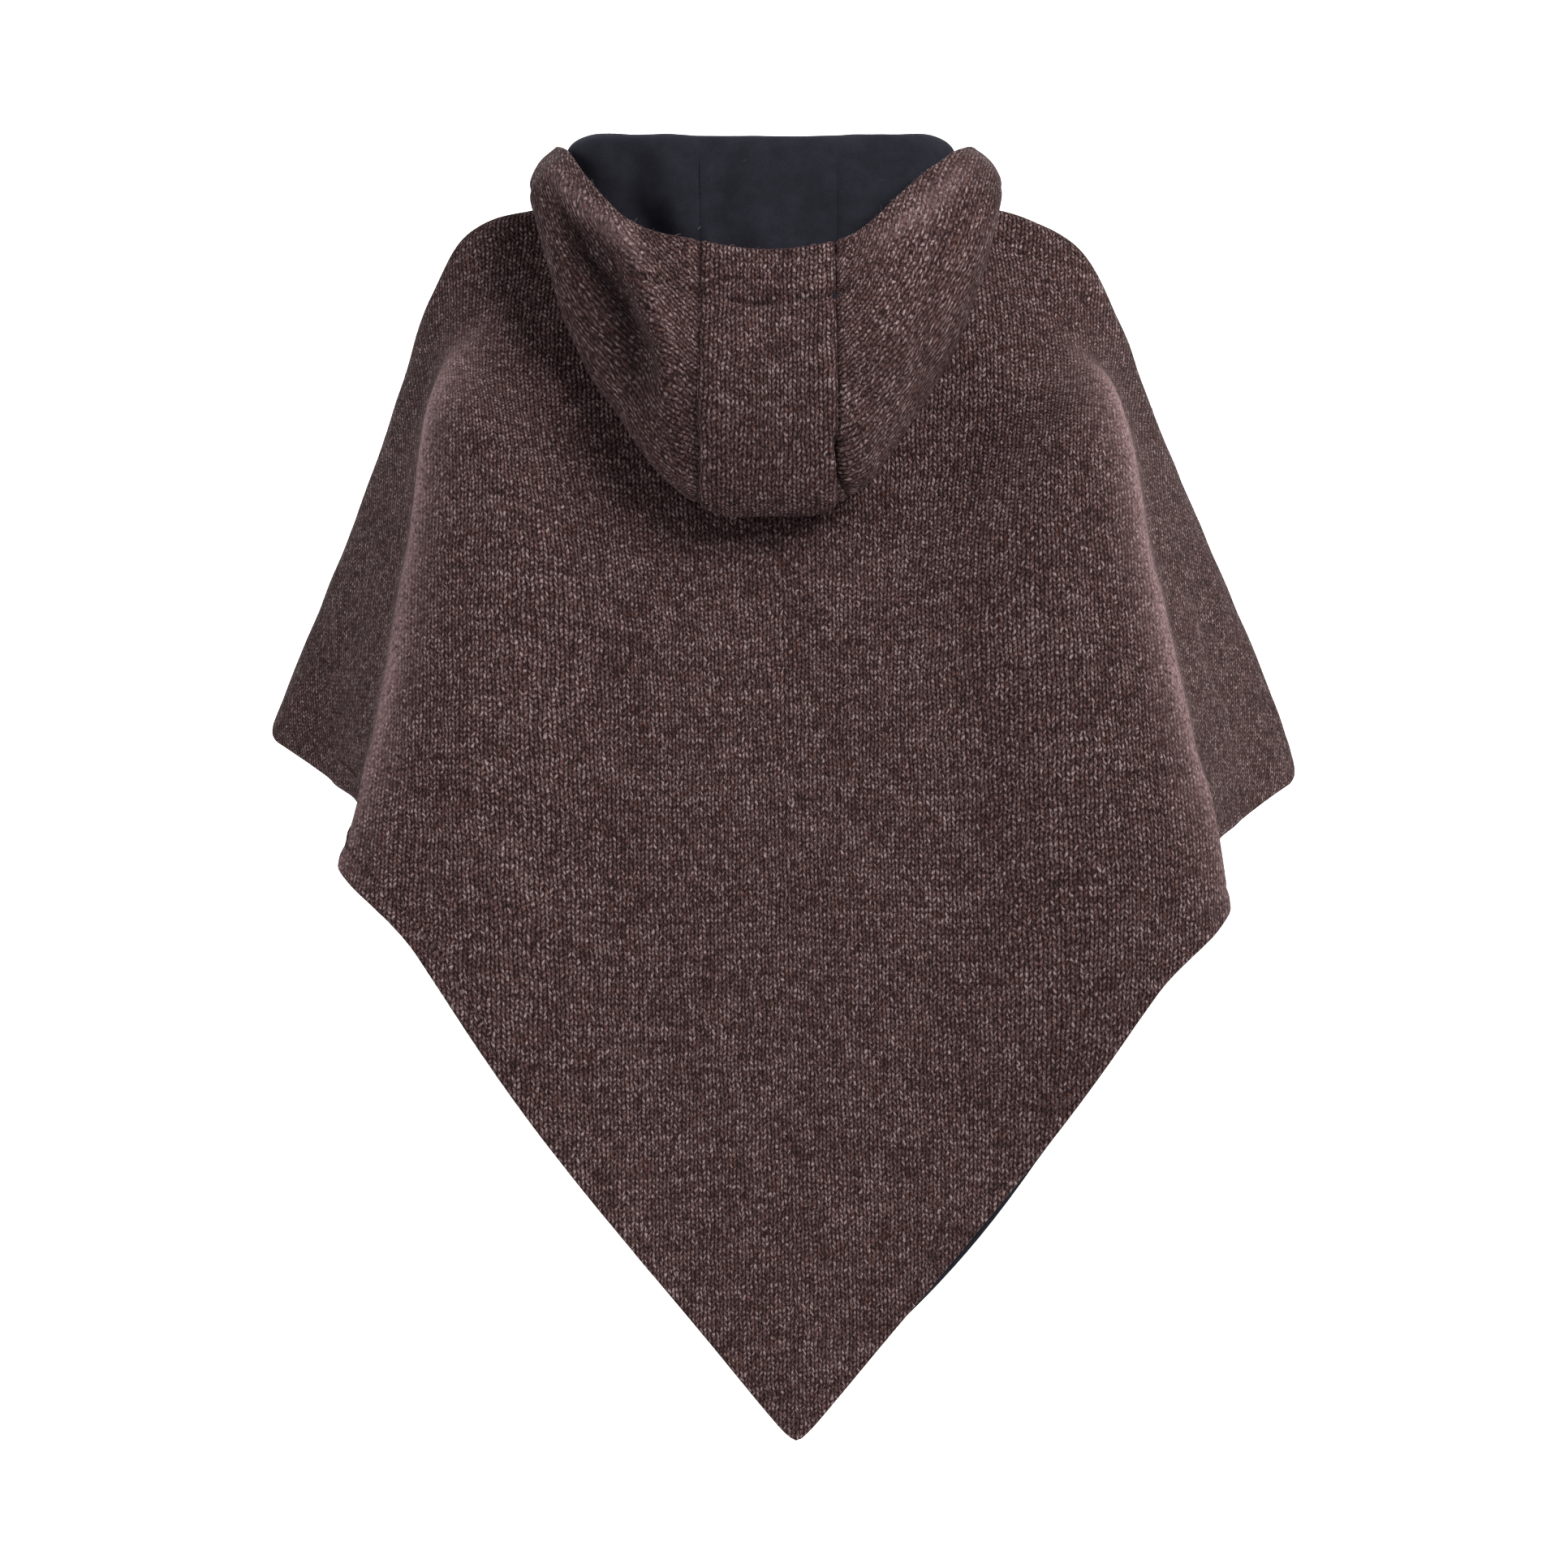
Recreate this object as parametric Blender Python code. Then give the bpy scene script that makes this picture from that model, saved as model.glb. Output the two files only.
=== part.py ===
"""Hooded wool poncho, filled out as it is worn, hood lying down on the back.

Metres, +Z up. The wearer would face +Y, so the back of the garment faces -Y. The origin is the middle of
the neck, at the height of the back neck seam.
"""
import math

import bpy
from mathutils import Vector

# Cloth
KNIT_THICKNESS = 0.003
LINING_THICKNESS = 0.0010
SEAM_GAP = 0.0003

# Body: rings down the cloth from the neck (0) to the hem (1). Drops are measured down from the origin,
# depths away from the middle plane. The ridge is the long soft fold beside each edge of the back.
RING_COLUMNS = (
    "down", "back_drop", "back_depth", "front_drop", "front_depth",
    "ridge_at", "ridge_depth", "front_ridge_depth", "seam_depth", "flute",
)
RINGS = (
    (0.00, 0.000, 0.065, 0.035, 0.070, 0.70, 0.030, 0.032, 0.000, 0.000),
    (0.15, 0.113, 0.099, 0.135, 0.115, 0.70, 0.038, 0.045, 0.000, 0.000),
    (0.25, 0.199, 0.118, 0.215, 0.140, 0.75, 0.055, 0.062, 0.000, 0.000),
    (0.35, 0.287, 0.132, 0.297, 0.152, 0.80, 0.078, 0.085, 0.000, 0.000),
    (0.50, 0.418, 0.146, 0.420, 0.157, 0.80, 0.112, 0.116, 0.000, 0.000),
    (0.65, 0.549, 0.150, 0.540, 0.158, 0.725, 0.134, 0.136, 0.005, 0.000),
    (0.80, 0.680, 0.155, 0.660, 0.160, 0.675, 0.150, 0.148, 0.012, 0.000),
    (0.90, 0.767, 0.160, 0.740, 0.162, 0.655, 0.158, 0.154, 0.016, 0.008),
    (1.00, 0.850, 0.165, 0.820, 0.165, 0.645, 0.165, 0.160, 0.020, 0.022),
)
# Each side of the body: how far the ridge and the overarm seam reach out and drop, ring by ring
SIDE_COLUMNS = ("down", "ridge_reach", "ridge_drop", "seam_reach", "seam_drop")
LEFT_SIDE = (
    (0.00, 0.0757, -0.008, 0.085, -0.012),
    (0.15, 0.1230, 0.022, 0.170, -0.007),
    (0.25, 0.1700, 0.050, 0.217, 0.010),
    (0.35, 0.2080, 0.085, 0.243, 0.055),
    (0.50, 0.2350, 0.131, 0.266, 0.127),
    (0.65, 0.2480, 0.230, 0.291, 0.198),
    (0.80, 0.2650, 0.330, 0.320, 0.269),
    (0.90, 0.2770, 0.396, 0.340, 0.317),
    (1.00, 0.2945, 0.455, 0.358, 0.362),
)
RIGHT_SIDE = (
    (0.00, 0.0757, -0.008, 0.085, -0.012),
    (0.15, 0.1230, 0.024, 0.168, -0.003),
    (0.25, 0.1680, 0.056, 0.213, 0.022),
    (0.35, 0.2050, 0.096, 0.239, 0.070),
    (0.50, 0.2340, 0.139, 0.267, 0.144),
    (0.65, 0.2530, 0.238, 0.298, 0.216),
    (0.80, 0.2750, 0.341, 0.329, 0.288),
    (0.90, 0.2920, 0.414, 0.350, 0.339),
    (1.00, 0.3060, 0.484, 0.368, 0.391),
)
NECK_RING, HEM_RING = 0.12, 0.75  # half the length of the back's cloth at the neck and at the hem
CENTER_LENGTH, SIDE_LENGTH = 0.87, 0.50  # of the cloth from neck to hem, down the center and along the seam
OVERARM_GAP = 0.0005        # between back and front along the overarm seams
SWAY = 0.013                # the point of the hem hangs this far to the right of the neck
FULLNESS = 0.36             # how roundly a ring runs between its middle and its ridge
SHOULDER_STATION = 0.80     # inside the ridge the ring is tucked in, this far from the middle to the ridge
SHOULDER_TUCK = 0.58        # by this share of the notch's swing
NOTCH_SHARE = 0.20          # where the hem is notched beside the ridge, between ridge and seam
NOTCH_RISE = 0.85           # the notch rises this much for each unit it swings inwards
VALLEY_SHARE = 0.48         # where the hollow beyond it lies
VALLEY_TUCK = 0.80          # its share of the notch's swing
FRONT_TAPER = 0.965         # the front hangs a little narrower and shorter than the back
TAPER_FROM = 0.5            # in full from this far down
TIP_ROUNDING = 0.014        # share of the half hem that rounds the point
CORNER_ROUNDING = 0.060     # share of hem and overarm seam that rounds the side corner
HEM_WAVE = {-1: 0.009, 1: 0.006}  # how far the hem dips near its point and lifts near the ridge, left and right
WAVE_POWER = 8              # how quickly that fades up the cloth

# Hem: a puffed edge with a stitched groove inside it
HEM_BAND = 0.012
HEM_PUFF = 0.0008
HEM_GROOVE = 0.0010
HEM_STEPS = (0.0, 0.003, 0.0075, 0.0120, 0.0165)
LINING_INSET = 0.001        # the lining ends this far inside the hem
PEEK = 0.003                # but shows this much below it along one stretch on the right
PEEK_AT = 0.26              # the middle of that stretch, and half its length, across the half hem
PEEK_HALF_LENGTH = 0.10

# Hood, lying back: sections round the neck from center back (0) to the throat (1). Each section runs from the
# neck seam up over the roll, down inside the bag to its bottom, and up its outer belly to the lip.
HOOD_COLUMNS = (
    "round", "roll_x", "roll_y", "roll_z", "bottom_x", "bottom_y", "bottom_z",
    "belly_x", "belly_y", "belly_z", "lip_x", "lip_y", "lip_z", "roll_sway", "bag_sway", "lip_sway",
)
HOOD_SECTIONS = (
    (0.00, 0.000, -0.088, 0.047, 0.000, -0.153, -0.211, 0.000, -0.202, -0.125, 0.000, -0.180, -0.038,
     -0.0044, -0.006, -0.0064),
    (0.18, 0.045, -0.083, 0.048, 0.047, -0.152, -0.204, 0.047, -0.199, -0.120, 0.045, -0.177, -0.032,
     -0.0044, -0.006, -0.0064),
    (0.34, 0.090, -0.066, 0.051, 0.090, -0.137, -0.158, 0.095, -0.172, -0.085, 0.082, -0.152, -0.016,
     -0.0080, -0.007, -0.0172),
    (0.46, 0.118, -0.046, 0.052, 0.132, -0.096, -0.084, 0.143, -0.124, -0.034, 0.112, -0.107, 0.015,
     -0.0110, -0.008, -0.0165),
    (0.56, 0.130, -0.020, 0.046, 0.148, -0.042, -0.009, 0.160, -0.070, 0.010, 0.137, -0.055, 0.041,
     -0.0115, -0.008, -0.0095),
    (0.65, 0.117, 0.018, 0.046, 0.143, 0.001, 0.019, 0.155, -0.007, 0.029, 0.146, -0.004, 0.044,
     -0.0085, -0.007, -0.0075),
    (0.74, 0.091, 0.060, 0.036, 0.116, 0.061, 0.024, 0.130, 0.059, 0.027, 0.142, 0.055, 0.032,
     -0.0060, -0.005, -0.0050),
    (0.84, 0.054, 0.083, 0.018, 0.072, 0.094, 0.014, 0.082, 0.099, 0.011, 0.092, 0.103, 0.008,
     -0.0030, -0.003, -0.0030),
    (0.93, 0.025, 0.090, -0.004, 0.036, 0.102, -0.010, 0.042, 0.108, -0.014, 0.048, 0.113, -0.019,
     0.0, 0.0, 0.0),
    (1.00, 0.006, 0.090, -0.016, 0.011, 0.102, -0.023, 0.014, 0.107, -0.028, 0.017, 0.111, -0.033,
     0.0, 0.0, 0.0),
)
NECK_GAP = 0.0005           # the hood stands this far above the panels' neck edge
INNER_FALL = 0.42           # how far down the bag's inner wall its middle guide lies
INNER_PUSH = 0.006          # and how far that guide stands out towards the bag at center back
PUSH_END = 0.56             # by here, round the neck, it no longer does
HOOD_STAND = 0.012          # the hood rises straight from the neck seam before it leans out
STAND_LOSS = 0.6            # and less so towards the throat, by this share
KNOT_POWER = 0.9            # evens out the bends of a section whose guides stand unevenly
HOOD_SEAM = 0.18            # where the strip's side seams run, round the neck
HOOD_THROAT = 0.98          # the side pieces end here, so the hood stays open at the throat
HOOD_TRIM = 0.0012          # share of the way round that each hood piece stops short of its seams

# Finish, as plain linear colours and roughness
KNIT_COLOR = (0.055, 0.036, 0.035, 1.0)
FLEECE_COLOR = (0.012, 0.013, 0.019, 1.0)
KNIT_ROUGHNESS = 0.95
FLEECE_ROUGHNESS = 0.9

# Mesh steps
BACK_COLUMNS, FRONT_COLUMNS, BODY_ROWS = 36, 26, 12
HOOD_STRIP_COLUMNS, HOOD_SIDE_COLUMNS, HOOD_ROWS = 4, 17, 20
ROW_CROWDING = 1.25         # rows lie closer together over the shoulders
EDGE_CROWDING = 0.55        # and columns towards the overarm seams
PROBE = 0.002               # step for measuring a surface's slope


def mix(a, b, share):
    """The value a share of the way from a to b."""
    return a + (b - a) * share


def knot_slopes(knots, values, first=None, last=None):
    """Slopes of a smooth curve through values at uneven knots."""
    count = len(knots)
    slopes = []
    for i in range(count):
        low, high = max(i - 1, 0), min(i + 1, count - 1)
        if 0 < i < count - 1:
            before = (values[i] - values[low]) / (knots[i] - knots[low])
            after = (values[high] - values[i]) / (knots[high] - knots[i])
            share = (knots[i] - knots[low]) / (knots[high] - knots[low])
            slopes.append(mix(before, after, share))
        else:
            slopes.append((values[high] - values[low]) / (knots[high] - knots[low]))
    if first is not None:
        slopes[0] = first
    if last is not None:
        slopes[-1] = last
    return slopes


def smooth_value(knots, values, slopes, at):
    """A cubic curve's value between its knots, straight on past its ends."""
    if at <= knots[0]:
        return values[0] + slopes[0] * (at - knots[0])
    if at >= knots[-1]:
        return values[-1] + slopes[-1] * (at - knots[-1])
    i = max(k for k in range(len(knots) - 1) if knots[k] <= at)
    span = knots[i + 1] - knots[i]
    t = (at - knots[i]) / span
    rise = t * t * (3.0 - 2.0 * t)
    leave = t * (1.0 - t) ** 2
    arrive = t * t * (t - 1.0)
    return (mix(values[i], values[i + 1], rise)
            + (slopes[i] * leave + slopes[i + 1] * arrive) * span)


def curve_point(knots, guides, at):
    """A point of a smooth curve through guides."""
    point = []
    for axis in range(3):
        values = [guide[axis] for guide in guides]
        point.append(smooth_value(knots, values, knot_slopes(knots, values), at))
    return Vector(point)


class Table:
    """Rows with named columns, read smoothly between rows by the first column."""

    def __init__(self, columns, rows):
        self.knots = [row[0] for row in rows]
        self.columns = {}
        for index, column in enumerate(columns[1:], 1):
            values = [row[index] for row in rows]
            level_start = 0.0 if column.endswith(("_y", "_z")) else None
            self.columns[column] = (values, knot_slopes(self.knots, values, level_start))

    def at(self, place):
        return {
            column: smooth_value(self.knots, values, slopes, place)
            for column, (values, slopes) in self.columns.items()
        }


BODY = Table(RING_COLUMNS, RINGS)
SIDES = {-1: Table(SIDE_COLUMNS, LEFT_SIDE), 1: Table(SIDE_COLUMNS, RIGHT_SIDE)}
HOOD = Table(HOOD_COLUMNS, HOOD_SECTIONS)


def ring_guides(down, side, face):
    """The guides of a quarter ring: middle, half way, shoulder, ridge, notch, valley and overarm seam.

    side is -1 for the left and 1 for the right; face is -1 for the back and 1 for the front.
    """
    ring = BODY.at(down)
    edge = SIDES[side].at(down)
    back = face < 0
    taper = 1.0 if back else mix(1.0, FRONT_TAPER, min(down / TAPER_FROM, 1.0))
    middle = Vector((
        side * SWAY * down,
        face * (ring["back_depth"] if back else ring["front_depth"]),
        -(ring["back_drop"] if back else ring["front_drop"]),
    ))
    ridge = Vector((
        edge["ridge_reach"] * taper,
        face * (ring["ridge_depth"] if back else ring["front_ridge_depth"]),
        -edge["ridge_drop"] * taper,
    ))
    seam = Vector((edge["seam_reach"], ring["seam_depth"], -edge["seam_drop"]))
    halfway = middle.lerp(ridge, 0.5)
    halfway.y += FULLNESS * (middle.y - ridge.y)
    swing = Vector((-ring["flute"], 0.0, NOTCH_RISE * ring["flute"]))
    notch = ridge.lerp(seam, NOTCH_SHARE) + swing
    valley = ridge.lerp(seam, VALLEY_SHARE) + VALLEY_TUCK * swing
    ridge_at = ring["ridge_at"]
    stations = [0.0, 0.5 * ridge_at, ridge_at]
    stations += [mix(ridge_at, 1.0, NOTCH_SHARE), mix(ridge_at, 1.0, VALLEY_SHARE), 1.0]
    guides = [middle, halfway, ridge, notch, valley, seam]
    shoulder_at = SHOULDER_STATION * ridge_at
    shoulder = curve_point(stations, guides, shoulder_at) + SHOULDER_TUCK * swing
    return stations[:2] + [shoulder_at] + stations[2:], guides[:2] + [shoulder] + guides[2:]


def body_point(across, down, face):
    """A point of the body's cloth; across runs from the left seam (-1) to the right seam (1)."""
    side = 1 if across >= 0.0 else -1
    distance = math.sqrt(across * across + TIP_ROUNDING ** 2)
    stations, guides = ring_guides(down, side, face)
    mirrored_stations, mirrored = ring_guides(down, side, -face)
    beyond = (guides[6] - mirrored[5]) / (stations[6] - mirrored_stations[5])
    inside = (guides[6] - guides[5]) / (stations[6] - stations[5])
    point = []
    for axis in range(3):
        values = [guide[axis] for guide in guides]
        first = 0.0 if axis == 1 else (values[1] - values[0]) / stations[1]
        last = 0.5 * (inside[axis] - beyond[axis])
        slopes = knot_slopes(stations, values, first, last)
        point.append(smooth_value(stations, values, slopes, distance))
    point[0] = side * (point[0] - guides[0].x) * abs(across) / distance + SWAY * down
    if distance < stations[3]:
        share = distance / stations[3]
        point[2] -= HEM_WAVE[side] * math.sin(2.0 * math.pi * share * share) * down ** WAVE_POWER
    return Vector(point)


def hem_limit(across):
    """How far down a line of the cloth reaches before the rounded side corner cuts it."""
    past = (abs(across) - (1.0 - CORNER_ROUNDING)) / CORNER_ROUNDING
    if past <= 0.0:
        return 1.0
    return 1.0 - CORNER_ROUNDING * (1.0 - math.sqrt(max(0.0, 1.0 - min(past, 1.0) ** 2)))


def line_length(across):
    """Length of the cloth from neck to hem along one line, from the cut's center and side lengths."""
    return mix(CENTER_LENGTH, SIDE_LENGTH, abs(across))


def surface_normal(point_at, a, b):
    """Unit normal of a surface, from its slopes along both of its directions."""
    along = point_at(a + PROBE, b) - point_at(a - PROBE, b)
    down = point_at(a, b + PROBE) - point_at(a, b - PROBE)
    return along.cross(down).normalized()


def edge_spread(count):
    """Steps from -1 to 1, closer together towards both ends, where the corners are rounded."""
    steps = []
    for i in range(count + 1):
        plain = -1.0 + 2.0 * i / count
        steps.append(mix(plain, math.sin(0.5 * math.pi * plain), EDGE_CROWDING))
    return steps


def lining_edge(across):
    """Distance of the back lining's edge from the hem: it peeks out below one stretch of the hem."""
    past = (across - PEEK_AT) / PEEK_HALF_LENGTH
    return LINING_INSET - (LINING_INSET + PEEK) * max(0.0, 1.0 - past * past)


def panel_grid(columns, back, lining):
    """Rows of (across, down, distance from the hem), from the neck to the hem."""
    rows = BODY_ROWS
    grid = []
    for i in range(rows + len(HEM_STEPS)):
        line = []
        half_ring = mix(NECK_RING, HEM_RING, i / (rows + len(HEM_STEPS)))
        for across in edge_spread(columns):
            across *= 1.0 - 0.5 * OVERARM_GAP / half_ring
            length = line_length(across)
            limit = hem_limit(across)
            if i < rows:
                last_plain = limit - (HEM_STEPS[-1] + HEM_BAND) / length
                down = last_plain * (i / (rows - 1)) ** ROW_CROWDING
                distance = (limit - down) * length
            else:
                distance = HEM_STEPS[len(HEM_STEPS) - 1 - (i - rows)]
                if lining and distance == 0.0:
                    distance = lining_edge(across) if back else LINING_INSET
                down = limit - distance / length
            line.append((across, down, distance))
        grid.append(line)
    return grid


def hem_relief(distance):
    """Height of the knit's face near the hem: puffed edge, stitched groove, then plain cloth."""
    if distance >= HEM_STEPS[-1]:
        return 0.0
    if distance >= HEM_BAND:
        return -HEM_GROOVE * (1.0 - (distance - HEM_BAND) / (HEM_STEPS[-1] - HEM_BAND))
    swell = math.sin(math.pi * distance / HEM_BAND)
    return mix(-HEM_PUFF, -HEM_GROOVE, distance / HEM_BAND) + 2.0 * HEM_PUFF * swell


def closed_wall(name, outer, inner, material, mirrored=False):
    """One closed wall between two grids of points; mirrored turns the diagonals of its cells."""
    rows, columns = len(outer), len(outer[0])
    points = [p for line in outer for p in line] + [p for line in inner for p in line]
    half = rows * columns

    def corner(i, j, layer):
        return layer * half + i * columns + j

    faces = []
    for i in range(rows - 1):
        for j in range(columns - 1):
            a, b = corner(i, j, 0), corner(i + 1, j, 0)
            c, d = corner(i + 1, j + 1, 0), corner(i, j + 1, 0)
            for triangle in ((a, b, d), (b, c, d)) if mirrored else ((a, b, c), (a, c, d)):
                faces.append(triangle)
                faces.append([half + index for index in reversed(triangle)])
    rim = [(i, 0) for i in range(rows)] + [(rows - 1, j) for j in range(1, columns)]
    rim += [(i, columns - 1) for i in range(rows - 2, -1, -1)] + [(0, j) for j in range(columns - 2, 0, -1)]
    for (i, j), (k, l) in zip(rim, rim[1:] + rim[:1]):
        faces.append([corner(i, j, 1), corner(k, l, 1), corner(k, l, 0), corner(i, j, 0)])

    mesh = bpy.data.meshes.new(name)
    mesh.from_pydata([tuple(p) for p in points], [], faces)
    mesh.update()
    mesh.materials.append(material)
    mesh.shade_smooth()
    mesh.set_sharp_from_angle(angle=math.radians(50.0))
    piece = bpy.data.objects.new(name, mesh)
    bpy.context.collection.objects.link(piece)
    return piece


def cloth_material(name, color, roughness):
    material = bpy.data.materials.new(name)
    material.use_nodes = True
    shader = material.node_tree.nodes["Principled BSDF"]
    shader.inputs["Base Color"].default_value = color
    shader.inputs["Roughness"].default_value = roughness
    shader.inputs["Metallic"].default_value = 0.0
    return material


def body_piece(name, face, columns, top, thickness, lining, material):
    """A body panel or its lining: a wall that starts a depth of top inside the cloth's face."""
    def point_at(across, down):
        return body_point(across, down, face)

    outer, inner = [], []
    for line in panel_grid(columns, face < 0, lining):
        outer_line, inner_line = [], []
        for across, down, distance in line:
            point = point_at(across, down)
            normal = surface_normal(point_at, across, max(down, PROBE)) * face
            lift = 0.0 if lining else hem_relief(distance)
            outer_line.append(point + normal * (lift - top))
            inner_line.append(point - normal * (top + thickness))
        outer.append(outer_line)
        inner.append(inner_line)
    if face > 0:
        outer = [line[::-1] for line in outer]
        inner = [line[::-1] for line in inner]
    return closed_wall(name, outer, inner, material)


def neck_point(around):
    """The panels' neck edge, from center back (0) over the shoulder seam (0.5) to the throat (1)."""
    if around <= 0.5:
        return body_point(2.0 * around, 0.0, -1)
    return body_point(2.0 * (1.0 - around), 0.0, 1)


def hood_section(around):
    """The guides of one hood section; around runs from the left throat (-1) to the right throat (1)."""
    side = 1.0 if around >= 0.0 else -1.0
    row = HOOD.at(abs(around))
    neck = neck_point(abs(around))
    neck.z += NECK_GAP
    stand = neck + Vector((0.0, 0.0, HOOD_STAND * (1.0 - STAND_LOSS * abs(around))))
    named = {
        part: Vector((row[part + "_x"], row[part + "_y"], row[part + "_z"]))
        for part in ("roll", "bottom", "belly", "lip")
    }
    inner_wall = named["roll"].lerp(named["bottom"], INNER_FALL)
    inner_wall.y -= INNER_PUSH * max(0.0, 1.0 - abs(around) / PUSH_END)
    guides = [neck, stand, named["roll"], inner_wall, named["bottom"], named["belly"], named["lip"]]
    roll_sway, bag_sway = row["roll_sway"], row["bag_sway"]
    sways = (0.0, 0.0, roll_sway, mix(roll_sway, bag_sway, INNER_FALL), bag_sway, bag_sway, row["lip_sway"])
    return [
        Vector((side * max(guide.x, 0.0) + shift, guide.y, guide.z))
        for guide, shift in zip(guides, sways)
    ]


def hood_point(around, along):
    """A point of the hood's sheet; along runs from the neck seam (0) to the lip (1)."""
    guides = hood_section(around)
    knots = [0.0]
    for first, second in zip(guides, guides[1:]):
        knots.append(knots[-1] + (second - first).length ** KNOT_POWER)
    return curve_point([knot / knots[-1] for knot in knots], guides, along)


def hood_piece(name, start, end, columns, rows, low, high, material):
    """A strip of the hood between two section lines, a wall from low to high on the sheet's knit side."""
    steps = [i / rows for i in range(rows + 1)]
    near, far = [], []
    for along in steps:
        near_line, far_line = [], []
        for j in range(columns + 1):
            around = mix(start, end, j / columns)
            probe_along = min(max(along, PROBE), 1.0 - PROBE)
            point = hood_point(around, along)
            normal = surface_normal(hood_point, around, probe_along)
            near_line.append(point + normal * low)
            far_line.append(point + normal * high)
        near.append(near_line)
        far.append(far_line)
    return closed_wall(name, near, far, material, mirrored=end < 0.0)


def main():
    for old in list(bpy.data.objects):
        bpy.data.objects.remove(old, do_unlink=True)

    knit = cloth_material("wool_knit", KNIT_COLOR, KNIT_ROUGHNESS)
    fleece = cloth_material("navy_fleece", FLEECE_COLOR, FLEECE_ROUGHNESS)

    under = KNIT_THICKNESS + SEAM_GAP
    for part, face, columns in (("back", -1, BACK_COLUMNS), ("front", 1, FRONT_COLUMNS)):
        body_piece(part + "_panel", face, columns, 0.0, KNIT_THICKNESS, False, knit)
        body_piece(part + "_lining", face, columns, under, LINING_THICKNESS, True, fleece)

    strips = (
        ("hood_left", -HOOD_THROAT, -HOOD_SEAM, HOOD_SIDE_COLUMNS),
        ("hood_center", -HOOD_SEAM, HOOD_SEAM, HOOD_STRIP_COLUMNS),
        ("hood_right", HOOD_SEAM, HOOD_THROAT, HOOD_SIDE_COLUMNS),
    )
    half_gap = 0.5 * SEAM_GAP
    trim = HOOD_TRIM
    for name, start, end, columns in strips:
        hood_piece(name, start + trim, end - trim, columns, HOOD_ROWS,
                   half_gap, half_gap + KNIT_THICKNESS, knit)
        hood_piece(name + "_lining", start + trim, end - trim, columns, HOOD_ROWS,
                   -half_gap - LINING_THICKNESS, -half_gap, fleece)


main()
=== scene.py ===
import math
import bpy
import numpy as np
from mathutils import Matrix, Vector, noise


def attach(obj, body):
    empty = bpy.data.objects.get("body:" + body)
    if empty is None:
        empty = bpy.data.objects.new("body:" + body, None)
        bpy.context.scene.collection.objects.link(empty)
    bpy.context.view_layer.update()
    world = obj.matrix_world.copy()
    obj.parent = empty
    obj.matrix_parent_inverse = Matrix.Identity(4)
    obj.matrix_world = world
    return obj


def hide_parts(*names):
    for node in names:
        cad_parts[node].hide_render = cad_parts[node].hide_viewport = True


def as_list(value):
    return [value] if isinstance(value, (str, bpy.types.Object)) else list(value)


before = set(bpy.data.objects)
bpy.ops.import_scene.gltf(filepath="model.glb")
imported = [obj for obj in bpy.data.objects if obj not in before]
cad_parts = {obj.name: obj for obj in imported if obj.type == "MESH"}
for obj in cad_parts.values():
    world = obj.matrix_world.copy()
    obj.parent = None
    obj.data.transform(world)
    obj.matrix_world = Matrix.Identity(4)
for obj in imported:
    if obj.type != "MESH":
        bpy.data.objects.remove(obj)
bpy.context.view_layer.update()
print("frame loaded:", len(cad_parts), "solids")

# Metres, +Z up, the back of the garment faces -Y. The cloth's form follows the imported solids.

# rings of the body down the cloth, from the neck (0) to the hem (1)
ringColumns = (
    "backDrop", "backDepth", "frontDrop", "frontDepth",
    "ridgeAt", "ridgeDepth", "frontRidgeDepth", "seamDepth", "flute",
)
ringRows = (
    (0.00, 0.000, 0.065, 0.035, 0.070, 0.70, 0.030, 0.032, 0.000, 0.000),
    (0.15, 0.113, 0.099, 0.135, 0.115, 0.70, 0.038, 0.045, 0.000, 0.000),
    (0.25, 0.199, 0.118, 0.215, 0.140, 0.75, 0.055, 0.062, 0.000, 0.000),
    (0.35, 0.287, 0.132, 0.297, 0.152, 0.80, 0.078, 0.085, 0.000, 0.000),
    (0.50, 0.418, 0.146, 0.420, 0.157, 0.80, 0.112, 0.116, 0.000, 0.000),
    (0.65, 0.549, 0.150, 0.540, 0.158, 0.725, 0.134, 0.136, 0.005, 0.000),
    (0.80, 0.680, 0.155, 0.660, 0.160, 0.675, 0.150, 0.148, 0.012, 0.000),
    (0.90, 0.767, 0.160, 0.740, 0.162, 0.655, 0.158, 0.154, 0.016, 0.008),
    (1.00, 0.850, 0.165, 0.820, 0.165, 0.645, 0.165, 0.160, 0.020, 0.022),
)
# how far the ridge and the overarm seam reach out and drop, on each side
sideColumns = ("ridgeReach", "ridgeDrop", "seamReach", "seamDrop")
leftRows = (
    (0.00, 0.0757, -0.008, 0.085, -0.012),
    (0.15, 0.1230, 0.022, 0.170, -0.007),
    (0.25, 0.1700, 0.050, 0.217, 0.010),
    (0.35, 0.2080, 0.085, 0.243, 0.055),
    (0.50, 0.2350, 0.131, 0.266, 0.127),
    (0.65, 0.2480, 0.230, 0.291, 0.198),
    (0.80, 0.2650, 0.330, 0.320, 0.269),
    (0.90, 0.2770, 0.396, 0.340, 0.317),
    (1.00, 0.2945, 0.455, 0.358, 0.362),
)
rightRows = (
    (0.00, 0.0757, -0.008, 0.085, -0.012),
    (0.15, 0.1230, 0.024, 0.168, -0.003),
    (0.25, 0.1680, 0.056, 0.213, 0.022),
    (0.35, 0.2050, 0.096, 0.239, 0.070),
    (0.50, 0.2340, 0.139, 0.267, 0.144),
    (0.65, 0.2530, 0.238, 0.298, 0.216),
    (0.80, 0.2750, 0.341, 0.329, 0.288),
    (0.90, 0.2920, 0.414, 0.350, 0.339),
    (1.00, 0.3060, 0.484, 0.368, 0.391),
)
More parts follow.
